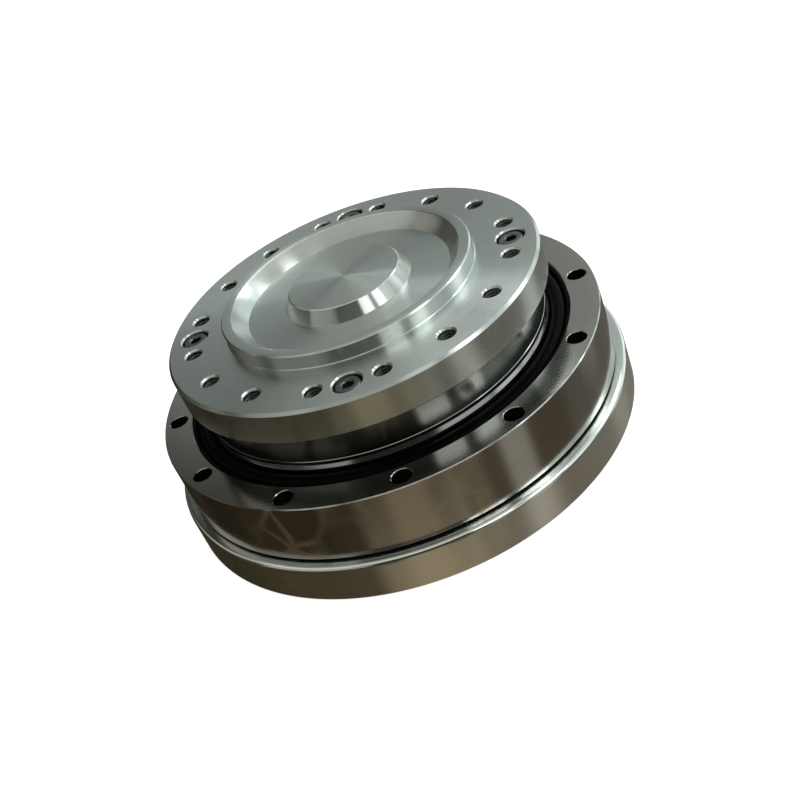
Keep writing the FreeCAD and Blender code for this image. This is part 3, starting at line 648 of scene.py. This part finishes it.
def blackened_steel(name):
    """Black-oxide screws: dull dark skin, rubbed to bare steel here and there, a film of oil."""
    material, board, shader = new_finish(name, {"Metallic": 1.0, "Coat Roughness": 0.3})
    spot = turning_spot(board)
    skin = board.noise(spot.place, 900, 4.0, 0.6)
    rubbed = board.fade(board.noise(spot.place, 520, 5.0, 0.7), 0.58, 0.74)
    colour = board.mix(skin, (0.070, 0.074, 0.072), (0.170, 0.176, 0.170))
    shader("Base Color", board.mix(rubbed * 0.6, colour, (0.36, 0.37, 0.36)))
    shader("Roughness", 0.34 + (skin - 0.5) * 0.18 - rubbed * 0.06)
    shader("Coat Weight", 0.25 + skin * 0.2)
    shader("Normal", relief(board, skin, 0.15, 0.03))
    return material


def oiled_rubber(name):
    """Black seal rubber with a moulded skin, oil in its hollows and a few dull patches."""
    material, board, shader = new_finish(name, {"IOR": 1.3, "Specular IOR Level": 0.06})
    spot = turning_spot(board)
    skin = board.noise(spot.place, 1300, 3.0)
    oil = board.fade(board.noise(spot.place, 60, 4.0, 0.6), 0.38, 0.66)
    dust = board.fade(board.noise(spot.place, 2600, 2.0), 0.68, 0.80)
    colour = board.mix(oil, (0.0022, 0.0022, 0.0024), (0.0010, 0.0010, 0.0010))
    shader("Base Color", board.mix(dust * 0.2, colour, (0.02, 0.02, 0.018)))
    shader("Roughness", 0.36 - oil * 0.16 + (skin - 0.5) * 0.1)
    shader("Normal", relief(board, skin, 0.10, 0.04))
    return material


def moulded_plastic(name):
    """Cream moulded plastic with a faint flow pattern."""
    material, board, shader = new_finish(name, {"IOR": 1.5})
    spot = turning_spot(board)
    flow = board.noise(spot.place, 160, 4.0, 0.6)
    skin = board.noise(spot.place, 3000, 2.0)
    shader("Base Color", board.mix(flow, (0.60, 0.53, 0.39), (0.76, 0.70, 0.56)))
    shader("Roughness", 0.45 + (skin - 0.5) * 0.2)
    shader("Normal", relief(board, skin, 0.15, 0.03))
    return material


def flat_bronze(name):
    """Ground bronze washers, a little darkened by oil."""
    material, board, shader = new_finish(name, {"Metallic": 1.0})
    spot = turning_spot(board)
    lay = board.add("ShaderNodeMapping", {"Vector": spot.place, "Scale": (1.0, 14.0, 1.0)})
    lines = board.noise(lay, 420, 3.0, 0.6)
    oil = board.noise(spot.place, 220, 4.0, 0.6)
    colour = board.mix(lines, (0.50, 0.31, 0.14), (0.70, 0.48, 0.25))
    shader("Base Color", board.mix(oil * 0.5, colour, (0.30, 0.19, 0.10)))
    shader("Roughness", 0.30 + (lines - 0.5) * 0.14 + oil * 0.08)
    shader("Normal", relief(board, lines, 0.12, 0.02))
    return material


# Sections of the turned pieces: radius, height, edge, wave

TOOTH_TIP = 41.24
BOTTOM_FLANGE = [
    (TOOTH_TIP, 2.5, 0.12), (46.0, 2.5), (46.0, 0.0, 0.35), (69.0, 0.0, 0.5),
    (69.0, BASE_TOP, 1.15), (TOOTH_TIP, BASE_TOP, 0.12),
]
OUTER_RING = [
    (HOUSING_BORE, BASE_TOP), (GROOVE_FLOOR, BASE_TOP), (GROOVE_FLOOR, GROOVE_TOP),
    (66.1, GROOVE_TOP, 0.25), (66.1, RING_TOP, 0.25), (SEAL_BORE, RING_TOP, 0.35),
    (SEAL_BORE, SEAL_SEAT), (HOUSING_BORE, SEAL_SEAT),
    (HOUSING_BORE, ROLLER_LEVEL + TRACK_THROAT, 0.1), (ROLLER_CIRCLE + TRACK_REACH, ROLLER_LEVEL),
    (HOUSING_BORE, ROLLER_LEVEL - TRACK_THROAT, 0.1),
]
INNER_RING_UPPER = [
    (INNER_BORE, ROLLER_LEVEL, 0.2), (ROLLER_CIRCLE - TRACK_REACH, ROLLER_LEVEL),
    (INNER_OUTSIDE, ROLLER_LEVEL + TRACK_THROAT, 0.1), (INNER_OUTSIDE, 25.4, 0.2), (51.8, 25.4),
    (51.8, 30.2, 0.1), (51.25, 31.15, 0.08), (51.25, INNER_TOP, 0.12), (INNER_BORE, INNER_TOP, 0.2),
]
INNER_RING_LOWER = [
    (INNER_BORE, 12.3, 0.2), (INNER_OUTSIDE, 12.3, 0.3),
    (INNER_OUTSIDE, ROLLER_LEVEL - TRACK_THROAT, 0.1),
    (ROLLER_CIRCLE - TRACK_REACH, ROLLER_LEVEL), (INNER_BORE, ROLLER_LEVEL, 0.2),
]
OUTPUT_FLANGE = [
    (0.0, 34.4), (9.0, 34.4, 0.3), (9.0, CUP_CEILING), (INNER_BORE, CUP_CEILING),
    (INNER_BORE, INNER_TOP, 0.2), (51.2, INNER_TOP, 0.25), (51.2, FLANGE_LOW),
    (54.8, FLANGE_LOW, 0.35), (54.8, FLANGE_TOP, 0.75), (36.8, FLANGE_TOP, 0.25),
    (36.8, BOSS_TOP, 0.4), (33.7, BOSS_TOP, 0.22), (29.9, 51.6), (18.6, 51.6),
    (16.3, BOSS_TOP, 0.22), (0.0, BOSS_TOP),
]
CLAMP_RING = [
    (CLAMP_BORE, CLAMP_LOW, 0.2), (CLAMP_OUTSIDE, CLAMP_LOW, 0.4),
    (CLAMP_OUTSIDE, DIAPHRAGM_LOW, 0.2), (CLAMP_BORE, DIAPHRAGM_LOW, 0.2),
]


def shaft_seal_section():
    """A pressed-in rim, a shallow groove and a fat rounded lip."""
    lip, shoulder, crown, foot = 51.95, 56.1, 29.5, 27.7
    middle, half, skirt, steps = (lip + shoulder) / 2, (shoulder - lip) / 2, 0.55, 18
    bead = []
    for step in range(steps + 1):
        angle = math.pi * step / steps
        height = foot + skirt + (crown - foot - skirt) * math.sin(angle)
        bead.append((middle + half * math.cos(angle), height))
    return [
        (SEAL_BORE, SEAL_SEAT), (SEAL_BORE, 29.0), (57.3, 29.2), (56.7, 29.2), (56.5, 29.0),
        (56.3, 28.5), *bead, (lip, foot), (HOUSING_BORE, SEAL_SEAT),
    ]


def joint_seal_section():
    """The visible cord of the joint seal, round towards the outside."""
    circle, level, radius, steps = 65.15, 11.65, 0.35, 8
    points = [(GROOVE_FLOOR, GROOVE_TOP), (GROOVE_FLOOR, BASE_TOP)]
    for step in range(steps + 1):
        angle = math.pi * (step / steps - 0.5)
        points.append((circle + radius * math.cos(angle), level + radius * math.sin(angle)))
    return points


def race_section(land, side, back):
    """A thin race: the land on the balls' side has a round track."""
    radius, half_arc, steps = 3.09, 56, 12
    track = []
    for step in range(steps + 1):
        angle = math.radians(2 * half_arc * step / steps - half_arc)
        reach = BALL_CIRCLE + side * radius * math.cos(angle)
        track.append((reach, BALL_LEVEL + radius * math.sin(angle), 0.0, WAVE))
    track = [spot for spot in track if (spot[0] - land) * side > 0]
    return [
        (back, PLUG_LOW, 0.25, WAVE), (land, PLUG_LOW, 0.15, WAVE),
        *track, (land, PLUG_TOP, 0.15, WAVE), (back, PLUG_TOP, 0.25, WAVE),
    ]


def band(inside, outside, low, high, edge, wave=0.0):
    """A plain ring with four equal edges."""
    walls = (inside, low), (outside, low), (outside, high), (inside, high)
    return [(*spot, edge, wave) for spot in walls]


def screw_section(reach):
    """A cap screw's blank, seat at height zero."""
    return [
        (0, -reach), (SHANK, -reach, 0.4), (SHANK, 0.0), (HEAD, 0.0, 0.1),
        (HEAD, HEAD_HEIGHT, 0.45), (0, HEAD_HEIGHT),
    ]


# Materials: the bottom flange's ledge and the output flange's neck are smoother than the rest, and
# take a painted tone: a lighter, bluer painted highlight on the ledge, a darker painted shade on the
# neck

BASE_FINISH = turned_steel(
    "base_turned_steel", (0.74, 0.72, 0.65), 0.26, BOTTOM_FLANGE, 0.88,
    # The ledge is smoother, and its lighter, bluer tint is a painted highlight
    smooth_painted_zone=SmoothPaintedZone(BASE_TOP - 1.4, BASE_TOP - 1.1, (0.83, 0.88, 0.85), 0.11),
)
RING_FINISH = turned_steel(
    "ring_ground_steel", (0.43, 0.42, 0.39), 0.14, OUTER_RING, 0.7, 0.04, smears=66.0,
)
FLANGE_FINISH = turned_steel(
    "flange_turned_steel", (0.58, 0.62, 0.595), 0.23, OUTPUT_FLANGE, 0.95,
    holes=(43.5, 50.6, FLANGE_TOP),
    # The neck below the flange's underside is smoother and gets a dark painted shade tint
    smooth_painted_zone=SmoothPaintedZone(FLANGE_LOW, FLANGE_LOW - 0.3, (0.255, 0.273, 0.262), 0.06),
)
PLUG_FINISH = turned_steel("plug_turned_steel", (0.53, 0.53, 0.53), 0.30, [], 0.6)
CUP_FINISH = turned_steel("cup_spring_steel", (0.46, 0.45, 0.43), 0.28, [], 0.5)
LAND_FINISH = ground_steel("land_polished_steel", (0.44, 0.44, 0.43), 0.10)
BEARING_FINISH = ground_steel("bearing_polished_steel", (0.62, 0.62, 0.62), 0.12)
SCREW_FINISH = blackened_steel("screw_black_oxide")
SEAL_FINISH = oiled_rubber("seal_black_rubber")
CAGE_FINISH = moulded_plastic("cage_cream_plastic")
WASHER_FINISH = flat_bronze("washer_bronze")


# Housing

def make_bottom_flange():
    """Through holes, seats for the joining screws below, and the inner teeth."""
    blank = turned("bottom_flange", BOTTOM_FLANGE, 5)
    through = [(3.25, BASE_TOP), (THROUGH, BASE_TOP - 0.5), (THROUGH, 0.35), (3.1, 0.0)]
    blank = drilled(blank, BASE_FINISH, HOUSING_HOLES, through)
    seat = 3.75
    seated = [
        (CLEARANCE, BASE_TOP), (CLEARANCE, ASSEMBLY_SEAT), (seat, ASSEMBLY_SEAT), (seat, 0.3),
        (4.05, 0.0),
    ]
    blank = drilled(blank, BASE_FINISH, ASSEMBLY_HOLES, seated)
    count, pitch, inward, outward = 104, 41.6, 0.72, 0.5
    near, far = pitch - inward, pitch + outward
    near_half = TOOTH_QUARTER + inward * FLANK_SLOPE
    far_half = TOOTH_QUARTER - outward * FLANK_SLOPE
    gap = [(near, -near_half), (far, -far_half), (far, far_half), (near, near_half)]
    space = prism("tooth_space", gap, 2.0, BASE_TOP + OVERSHOOT)
    mesh = grown(CUT_RING, blank, BASE_FINISH, space, Count=count, Circle=0.0, Phase=0.0)
    show("bottom_flange", "circular_spline", mesh, BASE_FINISH)


def make_outer_ring():
    """Through holes from above, threads for the joining screws from below."""
    blank = turned("outer_ring", OUTER_RING)
    through = [(2.92, RING_TOP), (THROUGH, RING_TOP - 0.17), (THROUGH, BASE_TOP)]
    blank = drilled(blank, RING_FINISH, HOUSING_HOLES, through)
    threaded = [(CORE, BASE_TOP + 8.6), (CORE, BASE_TOP)]
    mesh = drilled(blank, RING_FINISH, ASSEMBLY_HOLES, threaded)
    show("outer_ring", "bearing_outer_ring", mesh, RING_FINISH)


def make_seals():
    """The lip seal round the neck and the cord in the joint below."""
    show("seal_lip", "shaft_seal", turned("seal_lip", shaft_seal_section()), SEAL_FINISH)
    show("joint_cord", "joint_seal", turned("joint_cord", joint_seal_section()), SEAL_FINISH)


def make_screws():
    """Three rings of cap screws: the first has its heads up, the others come from below."""
    for name, node, reach, seat, tilt, ring in (
        ("cap_screws", "flange_screws", 32.0, CAP_SEAT, 0, CAP_HOLES),
        ("joining_screws", "assembly_screws", 14.5, ASSEMBLY_SEAT, 180, ASSEMBLY_HOLES),
        ("cup_screws", "clamp_screws", 12.0, CLAMP_LOW, 180, CLAMP_HOLES),
    ):
        blank = turned(name, screw_section(reach), facets=SMALL)
        socket = {"Socket": 1.73, "Socket_Depth": 2.0, "Head": HEAD_HEIGHT}
        mesh = grown(SCREWS, blank, SCREW_FINISH, Seat=seat, Tilt=tilt, **socket, **ring)
        show(name, node, mesh, SCREW_FINISH)


# Output side

def make_output_flange():
    """Tapped holes with thread ridges, seats for the cap screws, threads for the cup screws below."""
    blank = turned("output_flange", OUTPUT_FLANGE)
    root, seat = 2.4, 4.0  # radii of a tapped hole's wall and of a cap screw's seat
    tapped = [
        (2.85, FLANGE_TOP), (root, FLANGE_TOP - 0.5), (root, FLANGE_TOP - 9.0),
        (0, FLANGE_TOP - 10.2),
    ]
    blank = drilled(blank, FLANGE_FINISH, TAPPED_HOLES, tapped)
    seated = [
        (4.4, FLANGE_TOP), (seat, FLANGE_TOP - 0.4), (seat, CAP_SEAT), (CLEARANCE, CAP_SEAT),
        (CLEARANCE, INNER_TOP),
    ]
    blank = drilled(blank, FLANGE_FINISH, CAP_HOLES, seated)
    threaded = [(CORE, 44.0), (CORE, CUP_CEILING)]
    blank = drilled(blank, FLANGE_FINISH, CLAMP_HOLES, threaded)
    ridges = grown(
        THREADS, bpy.data.meshes.new("none"), FLANGE_FINISH,
        Root=2.42, Ridge=0.28, Turns=10.0, Length=7.6, Bottom=FLANGE_TOP - 8.8, **TAPPED_HOLES,
    )
    show("output_flange_face", "output_flange", joined(blank, ridges), FLANGE_FINISH)


def make_inner_rings():
    """The two halves of the split ring that the cap screws hold together."""
    clear = [(CLEARANCE, INNER_TOP), (CLEARANCE, ROLLER_LEVEL)]
    mesh = drilled(turned("inner_ring", INNER_RING_UPPER), LAND_FINISH, CAP_HOLES, clear)
    show("inner_ring_land", "inner_ring_upper", mesh, LAND_FINISH)
    threaded = [(CORE, ROLLER_LEVEL), (CORE, 13.3)]
    mesh = drilled(turned("inner_ring", INNER_RING_LOWER), BEARING_FINISH, CAP_HOLES, threaded)
    show("inner_ring_half", "inner_ring_lower", mesh, BEARING_FINISH)


def make_flexspline():
    """The thin cup: an oval rim that fades into a round wall, with teeth set square to the bent rim.

    The clamp ring goes with it.
    """
    bore, root, thin, fade_top = 39.36, 40.36, 0.8, 30.0
    wall_outside, wall_inside, bend, roof = 39.7, 38.9, 36.3, 34.2
    cup = turned("toothed_cup", [
        (bore, TOOTH_LOW, 0.1, WAVE), (root, TOOTH_LOW, 0.1, WAVE), (root, TOOTH_HIGH, 0.1, WAVE),
        (bore + thin, TOOTH_HIGH, 0.0, WAVE), (wall_outside, fade_top), (wall_outside, 31.0, 0.9),
        (bend, roof, 0.9), (CLAMP_OUTSIDE, roof, 0.3), (CLAMP_OUTSIDE, CUP_CEILING, 0.2),
        (CLAMP_BORE, CUP_CEILING, 0.2), (CLAMP_BORE, DIAPHRAGM_LOW, 0.2), (bend, DIAPHRAGM_LOW, 0.9),
        (wall_inside, 30.6, 0.5), (wall_inside, fade_top), (bore, TOOTH_HIGH, 0.0, WAVE),
    ], 3)
    half, low, shoulder, tip, ease = TOOTH_QUARTER - 0.03, -0.6, 0.26, 0.36, 0.06
    flank = [(height, half - height * FLANK_SLOPE) for height in (low, shoulder, tip)]
    flank[2] = (tip, flank[2][1] - ease)
    outline = [(height, -side) for height, side in flank]
    outline += [(height, side) for height, side in reversed(flank)]
    tooth = prism("cup_tooth", outline, TOOTH_LOW, TOOTH_HIGH)
    mesh = grown(JOIN_OVAL, cup, CUP_FINISH, tooth, Count=102, Circle=40.8, Phase=0.0, Wave=WAVE)
    holes = [(CLEARANCE, CUP_CEILING), (CLEARANCE, DIAPHRAGM_LOW)]
    show("toothed_cup", "flexspline", drilled(mesh, CUP_FINISH, CLAMP_HOLES, holes), CUP_FINISH)
    holes = [(CLEARANCE, DIAPHRAGM_LOW), (CLEARANCE, CLAMP_LOW)]
    mesh = drilled(turned("cup_clamp", CLAMP_RING), CUP_FINISH, CLAMP_HOLES, holes)
    show("cup_clamp", "clamp_ring", mesh, CUP_FINISH)


def make_rollers():
    """Rollers that lean by turns inwards and outwards, with a spacer between each two."""
    half, lean = 2.35, 45
    roller = turned("rollers", [
        (0, -half), (ROLLER_RADIUS, -half, 0.25), (ROLLER_RADIUS, half, 0.25), (0, half),
    ], facets=32)
    row = {"Count": 40, "Circle": ROLLER_CIRCLE, "Level": ROLLER_LEVEL}
    mesh = grown(ROLLERS, roller, BEARING_FINISH, Phase=0.0, Lean=lean, Other_Lean=-lean, **row)
    show("rollers", "cross_rollers", mesh, BEARING_FINISH)
    half, width, between = 2.25, 2.8, 4.5
    spacer = block("spacers", -half, half, width, -half, half)
    mesh = grown(ROLLERS, spacer, CAGE_FINISH, Phase=between, Lean=lean, Other_Lean=lean, **row)
    show("spacers", "roller_spacers", mesh, CAGE_FINISH)


# Wave generator

def make_wave_plug():
    """The oval cam, with a recess for the coupling, a groove for the snap ring and two slots."""
    bore, groove = 12.5, 16.9
    blank = turned("oval_plug", [
        (bore, STACK_TOP), (PLUG_RECESS, STACK_TOP), (PLUG_RECESS, SNAP_TOP), (groove, SNAP_TOP),
        (groove, SNAP_LOW), (PLUG_RECESS, SNAP_LOW), (PLUG_RECESS, PLUG_LOW, 0.4),
        (PLUG_OUTSIDE, PLUG_LOW, 0.4, WAVE), (PLUG_OUTSIDE, PLUG_TOP, 0.4, WAVE),
        (bore, PLUG_TOP, 0.4),
    ])
    slot = block("plug_slot", 13.0, 19.5, SLOT, 2.0, INSERT_TOP)
    mesh = grown(CUT_RING, blank, PLUG_FINISH, slot, Count=2, Circle=0.0, Phase=90)
    show("oval_plug", "wave_plug", mesh, PLUG_FINISH)


def make_ball_bearing():
    """Two thin races, the balls and a cage with a pocket for each ball."""
    outer = race_section(37.1, 1, 39.26)
    show("flexible_race_outer", "race_outer", turned("race_outer", outer), BEARING_FINISH)
    inner = race_section(33.5, -1, PLUG_OUTSIDE)
    show("flexible_race_inner", "race_inner", turned("race_inner", inner), BEARING_FINISH)
    count = 21
    row = {"Count": count, "Circle": BALL_CIRCLE, "Phase": 180 / count, "Wave": WAVE}
    seed = bpy.data.meshes.new("none")
    mesh = grown(BALLS, seed, BEARING_FINISH, Ball=3.0, Level=BALL_LEVEL, **row)
    show("balls", "bearing_balls", mesh, BEARING_FINISH)
    cage = turned("cage", band(34.2, 36.4, 3.6, 8.4, 0.2, WAVE))
    wide, half = 3.14, 3.5
    pocket = [(0, -half), (wide, -half), (wide, half), (0, half)]
    pocket = turned("pocket", pocket, facets=SMALL)
    lying = Matrix.Rotation(math.pi / 2, 4, "Y")
    pocket.transform(Matrix.Translation((0, 0, BALL_LEVEL * MM)) @ lying)
    show("cage", "ball_cage", grown(CUT_OVAL, cage, CAGE_FINISH, pocket, **row), CAGE_FINISH)


def make_coupling():
    """Insert, washers, snap ring and hub; the tongues of one piece stand in slots of the next."""
    insert = band(STACK_BORE, STACK_OUTSIDE, INSERT_LOW, INSERT_TOP, 0.2)
    insert = turned("insert", insert, facets=FINE)
    tongue = block("tongue", 14.0, 19.4, TONGUE, INSERT_LOW, INSERT_TOP)
    insert = grown(JOIN_RING, insert, PLUG_FINISH, tongue, Count=2, Circle=0.0, Phase=90)
    slot = block("slot", 9.0, 13.5, SLOT, 5.0, STACK_TOP)
    insert = grown(CUT_RING, insert, PLUG_FINISH, slot, Count=2, Circle=0.0, Phase=0.0)
    show("coupling_insert", "oldham_insert", insert, PLUG_FINISH)
    washers = []
    for low, high in ((INSERT_TOP, STACK_TOP), (SNAP_TOP, INSERT_LOW)):
        rim = band(STACK_BORE, STACK_OUTSIDE, low, high, 0.06)
        washers.append(turned("washers", rim, facets=FINE))
    show("washers", "rub_washers", joined(*washers), WASHER_FINISH)
    ring = turned("retaining_ring", band(14.2, 16.8, SNAP_LOW, SNAP_TOP, 0.1), facets=FINE)
    opening = block("opening", 5.0, 20.0, 9.0, 3.0, 6.0)
    ring = grown(CUT_RING, ring, SCREW_FINISH, opening, Count=1, Circle=0.0, Phase=0.0)
    show("retaining_ring", "snap_ring", ring, SCREW_FINISH)
    bore, outside, low, high = 7.0, 11.0, 2.8, 12.4
    hub = turned("input_sleeve", [
        (bore, low, 0.5), (outside, low, 0.4), (outside, high, 0.4), (bore, high, 0.5),
    ], facets=FINE)
    tongue = block("hub_tongue", 9.5, 13.4, TONGUE, 5.9, 9.4)
    hub = grown(JOIN_RING, hub, PLUG_FINISH, tongue, Count=2, Circle=0.0, Phase=0.0)
    keyway = block("keyway", 3.0, 9.3, 5.0, 2.0, 13.0)
    hub = grown(CUT_RING, hub, PLUG_FINISH, keyway, Count=1, Circle=0.0, Phase=90)
    show("input_sleeve", "input_hub", hub, PLUG_FINISH)


# Studio

def make_floor():
    """A wide pale floor that curves up into a pale wall and ceiling; the metal doesn't mirror it."""
    wide, low, high, bend = 3200, -0.2, 2400, 900
    drum = turned("floor", [(0, low), (wide, low, bend), (wide, high, bend), (0, high)], 12, FINE)
    drum.shade_smooth()
    floor = placed("floor", drum)
    material, board, shader = new_finish("floor_paper", {
        "Roughness": 0.9, "Emission Color": (1.0, 1.0, 1.0), "Emission Strength": 0.75,
    })
    spot = turning_spot(board)
    clouds = board.noise(spot.place, 3, 2.0)
    shader("Base Color", board.mix(clouds, (0.84, 0.84, 0.84), (0.88, 0.88, 0.88)))
    floor.data.materials.append(material)
    floor.visible_glossy = floor.visible_diffuse = floor.visible_shadow = False


# Panels of the room, later ones over earlier ones:
# degrees round the axis, degrees above the bench, softness of the rim in degrees, colour
PANELS = [
    ((-114, -94), (-70, -14), 4, (0.25, 0.20, 0.125)),
    ((-83, -64), (-70, -14), 3, (0.19, 0.165, 0.115)),
    ((-132, -78), (-70, -40), 3, (0.44, 0.37, 0.26)),
    ((-52, -36), (-70, -14), 3, (0.40, 0.38, 0.33)),
    ((-8, 62), (-70, -14), 4, (0.15, 0.14, 0.115)),
    ((8, 26), (-32, -14), 3, (0.66, 0.67, 0.63)),
    ((108, 178), (6, 28), 3, (0.095, 0.092, 0.078)),
    ((126, 160), (24, 50), 3, (0.42, 0.40, 0.36)),
    ((80, 104), (-6, 31), 3, (0.33, 0.355, 0.34)),
    ((80, 100), (31, 60), 3, (0.33, 0.355, 0.34)),
    ((57, 80), (-6, 60), 3, (0.42, 0.45, 0.43)),
    ((57, 76), (-6, 18), 3, (0.80, 0.84, 0.84)),
    ((150, 184), (37, 60), 2, (0.56, 0.56, 0.52)),
    ((-184, -142), (37, 60), 2, (0.56, 0.56, 0.52)),
    ((-180, -128), (4, 27), 2, (0.50, 0.49, 0.45)),
    ((-74, -38), (-8, 30), 2, (0.60, 0.64, 0.62)),
    ((-36, 57), (-8, 62), 2, (0.46, 0.49, 0.48)),
    ((-34, -14), (-8, 60), 2, (0.95, 1.00, 1.00)),
    ((-10, 10), (-8, 60), 2, (0.90, 0.97, 0.97)),
    ((14, 33), (-8, 60), 2, (1.05, 1.12, 1.12)),
    ((37, 56), (-8, 34), 2, (1.05, 1.14, 1.15)),
]


def make_room():
    """What the metal mirrors: a light side on the right, a dim left side, ceiling and brown bench."""
    world = bpy.data.worlds.new("studio")
    bpy.context.scene.world = world
    world.use_nodes = True
    board = Board(world.node_tree)
    way = board.add("ShaderNodeTexCoord", output="Generated")
    split = board.add("ShaderNodeSeparateXYZ", {"Vector": way})
    x, y, up = split.output("X"), split.output("Y"), split.output("Z")
    bearing, rise = board.math("ARCTAN2", y, x), board.math("ARCSINE", up)

    def panel(bearings, heights, soft):
        """1 inside a patch of the room."""
        inside = 1.0
        for given, (low, high) in ((bearing, bearings), (rise, heights)):
            for edge, inwards in ((low, soft), (high, -soft)):
                start, end = math.radians(edge - inwards), math.radians(edge + inwards)
                inside = board.fade(given, start, end) * inside
        return inside

    bench = board.mix(board.fade(x, -0.85, 0.25), (0.046, 0.033, 0.016), (0.112, 0.093, 0.062))
    far_left = board.fade(y, 0.0, 0.5) * board.fade(x, 0.2, -0.3)
    bench = board.mix(far_left, bench, (0.026, 0.021, 0.013))
    clutter = board.fade(board.noise(way, 4.0, 3.0), 0.45, 0.60)
    bench = board.mix(clutter * 0.3, bench, (0.10, 0.08, 0.05))
    light = board.mix(board.fade(up, -0.20, -0.02), bench, (0.030, 0.029, 0.024))
    for bearings, heights, soft, tone in PANELS:
        light = board.mix(panel(bearings, heights, soft), light, tone)
    ceiling = board.fade(up, 0.71, 0.76)
    light = board.mix(ceiling, light, (0.60, 0.61, 0.57))
    board.feed(world.node_tree.nodes["Background"], "Color", light)


LAMP_TARGET, LAMP_DISTANCE = Vector((0, 0, 0.03)), 1.4  # in metres


def softbox(name, way, width, height, glow, colour=(1.0, 1.0, 1.0)):
    """An area light that hangs in one direction from the gearbox and faces it."""
    lamp = bpy.data.lights.new(name, "AREA")
    lamp.shape = "RECTANGLE"
    lamp.size, lamp.size_y = width, height
    lamp.energy, lamp.color = glow * math.pi * width * height, colour
    holder = placed(name, lamp)
    way = Vector(way).normalized()
    holder.location = LAMP_TARGET + way * LAMP_DISTANCE
    holder.rotation_mode = "QUATERNION"
    holder.rotation_quaternion = (-way).to_track_quat("-Z", "Y")
    holder.visible_camera = False


def make_lights():
    """Softboxes in front, at the right and behind: direction, width, height, glow, colour."""
    softbox("front_lamp", (0.27, -0.79, 0.55), 0.42, 0.42, 2.9)
    softbox("corner_lamp", (0.61, -0.57, 0.55), 0.34, 0.42, 3.6, (0.97, 1.0, 1.0))
    softbox("high_lamp", (0.55, -0.28, 0.79), 0.32, 0.30, 3.2)
    softbox("right_lamp", (0.82, 0.16, 0.55), 0.32, 0.42, 2.8, (0.97, 1.0, 1.0))
    softbox("side_lamp", (0.42, 0.60, 0.68), 0.52, 0.20, 3.6, (0.95, 1.0, 1.0))
    softbox("back_lamp", (0.25, 0.55, 0.80), 0.64, 0.40, 1.3, (0.95, 1.0, 0.98))


def make_camera():
    """The photograph's view: a 50 mm lens, 33 degrees above the bench and rolled."""
    lens_length, sensor, pixels = 50.0, 36.0, 800
    focal = lens_length * pixels / sensor
    distance, elevation, roll = 0.3381, math.radians(33.08), math.radians(-23.25)
    foot_x, foot_y = 408.3, 427.2  # the pixel where the main axis meets the bench
    axis_x, axis_y = (foot_x - pixels / 2) / focal, (pixels / 2 - foot_y) / focal
    across = Vector((1, 0, 0))
    upward = Vector((0, math.sin(elevation), math.cos(elevation)))
    back = Vector((0, -math.cos(elevation), math.sin(elevation)))
    right = across * math.cos(roll) + upward * math.sin(roll)
    top = upward * math.cos(roll) - across * math.sin(roll)
    lens = bpy.data.cameras.new("camera")
    lens.lens, lens.sensor_width, lens.clip_start = lens_length, sensor, 0.01
    camera = placed("camera", lens)
    turn = Matrix((right, top, back)).transposed().to_4x4()
    place = (back - right * axis_x - top * axis_y) * distance
    camera.matrix_world = Matrix.Translation(place) @ turn
    bpy.context.scene.camera = camera


make_bottom_flange()
make_outer_ring()
make_seals()
make_screws()
make_output_flange()
make_inner_rings()
make_flexspline()
make_rollers()
make_wave_plug()
make_ball_bearing()
make_coupling()
make_floor()
make_room()
make_lights()
make_camera()
bpy.context.scene.view_settings.view_transform = "Standard"
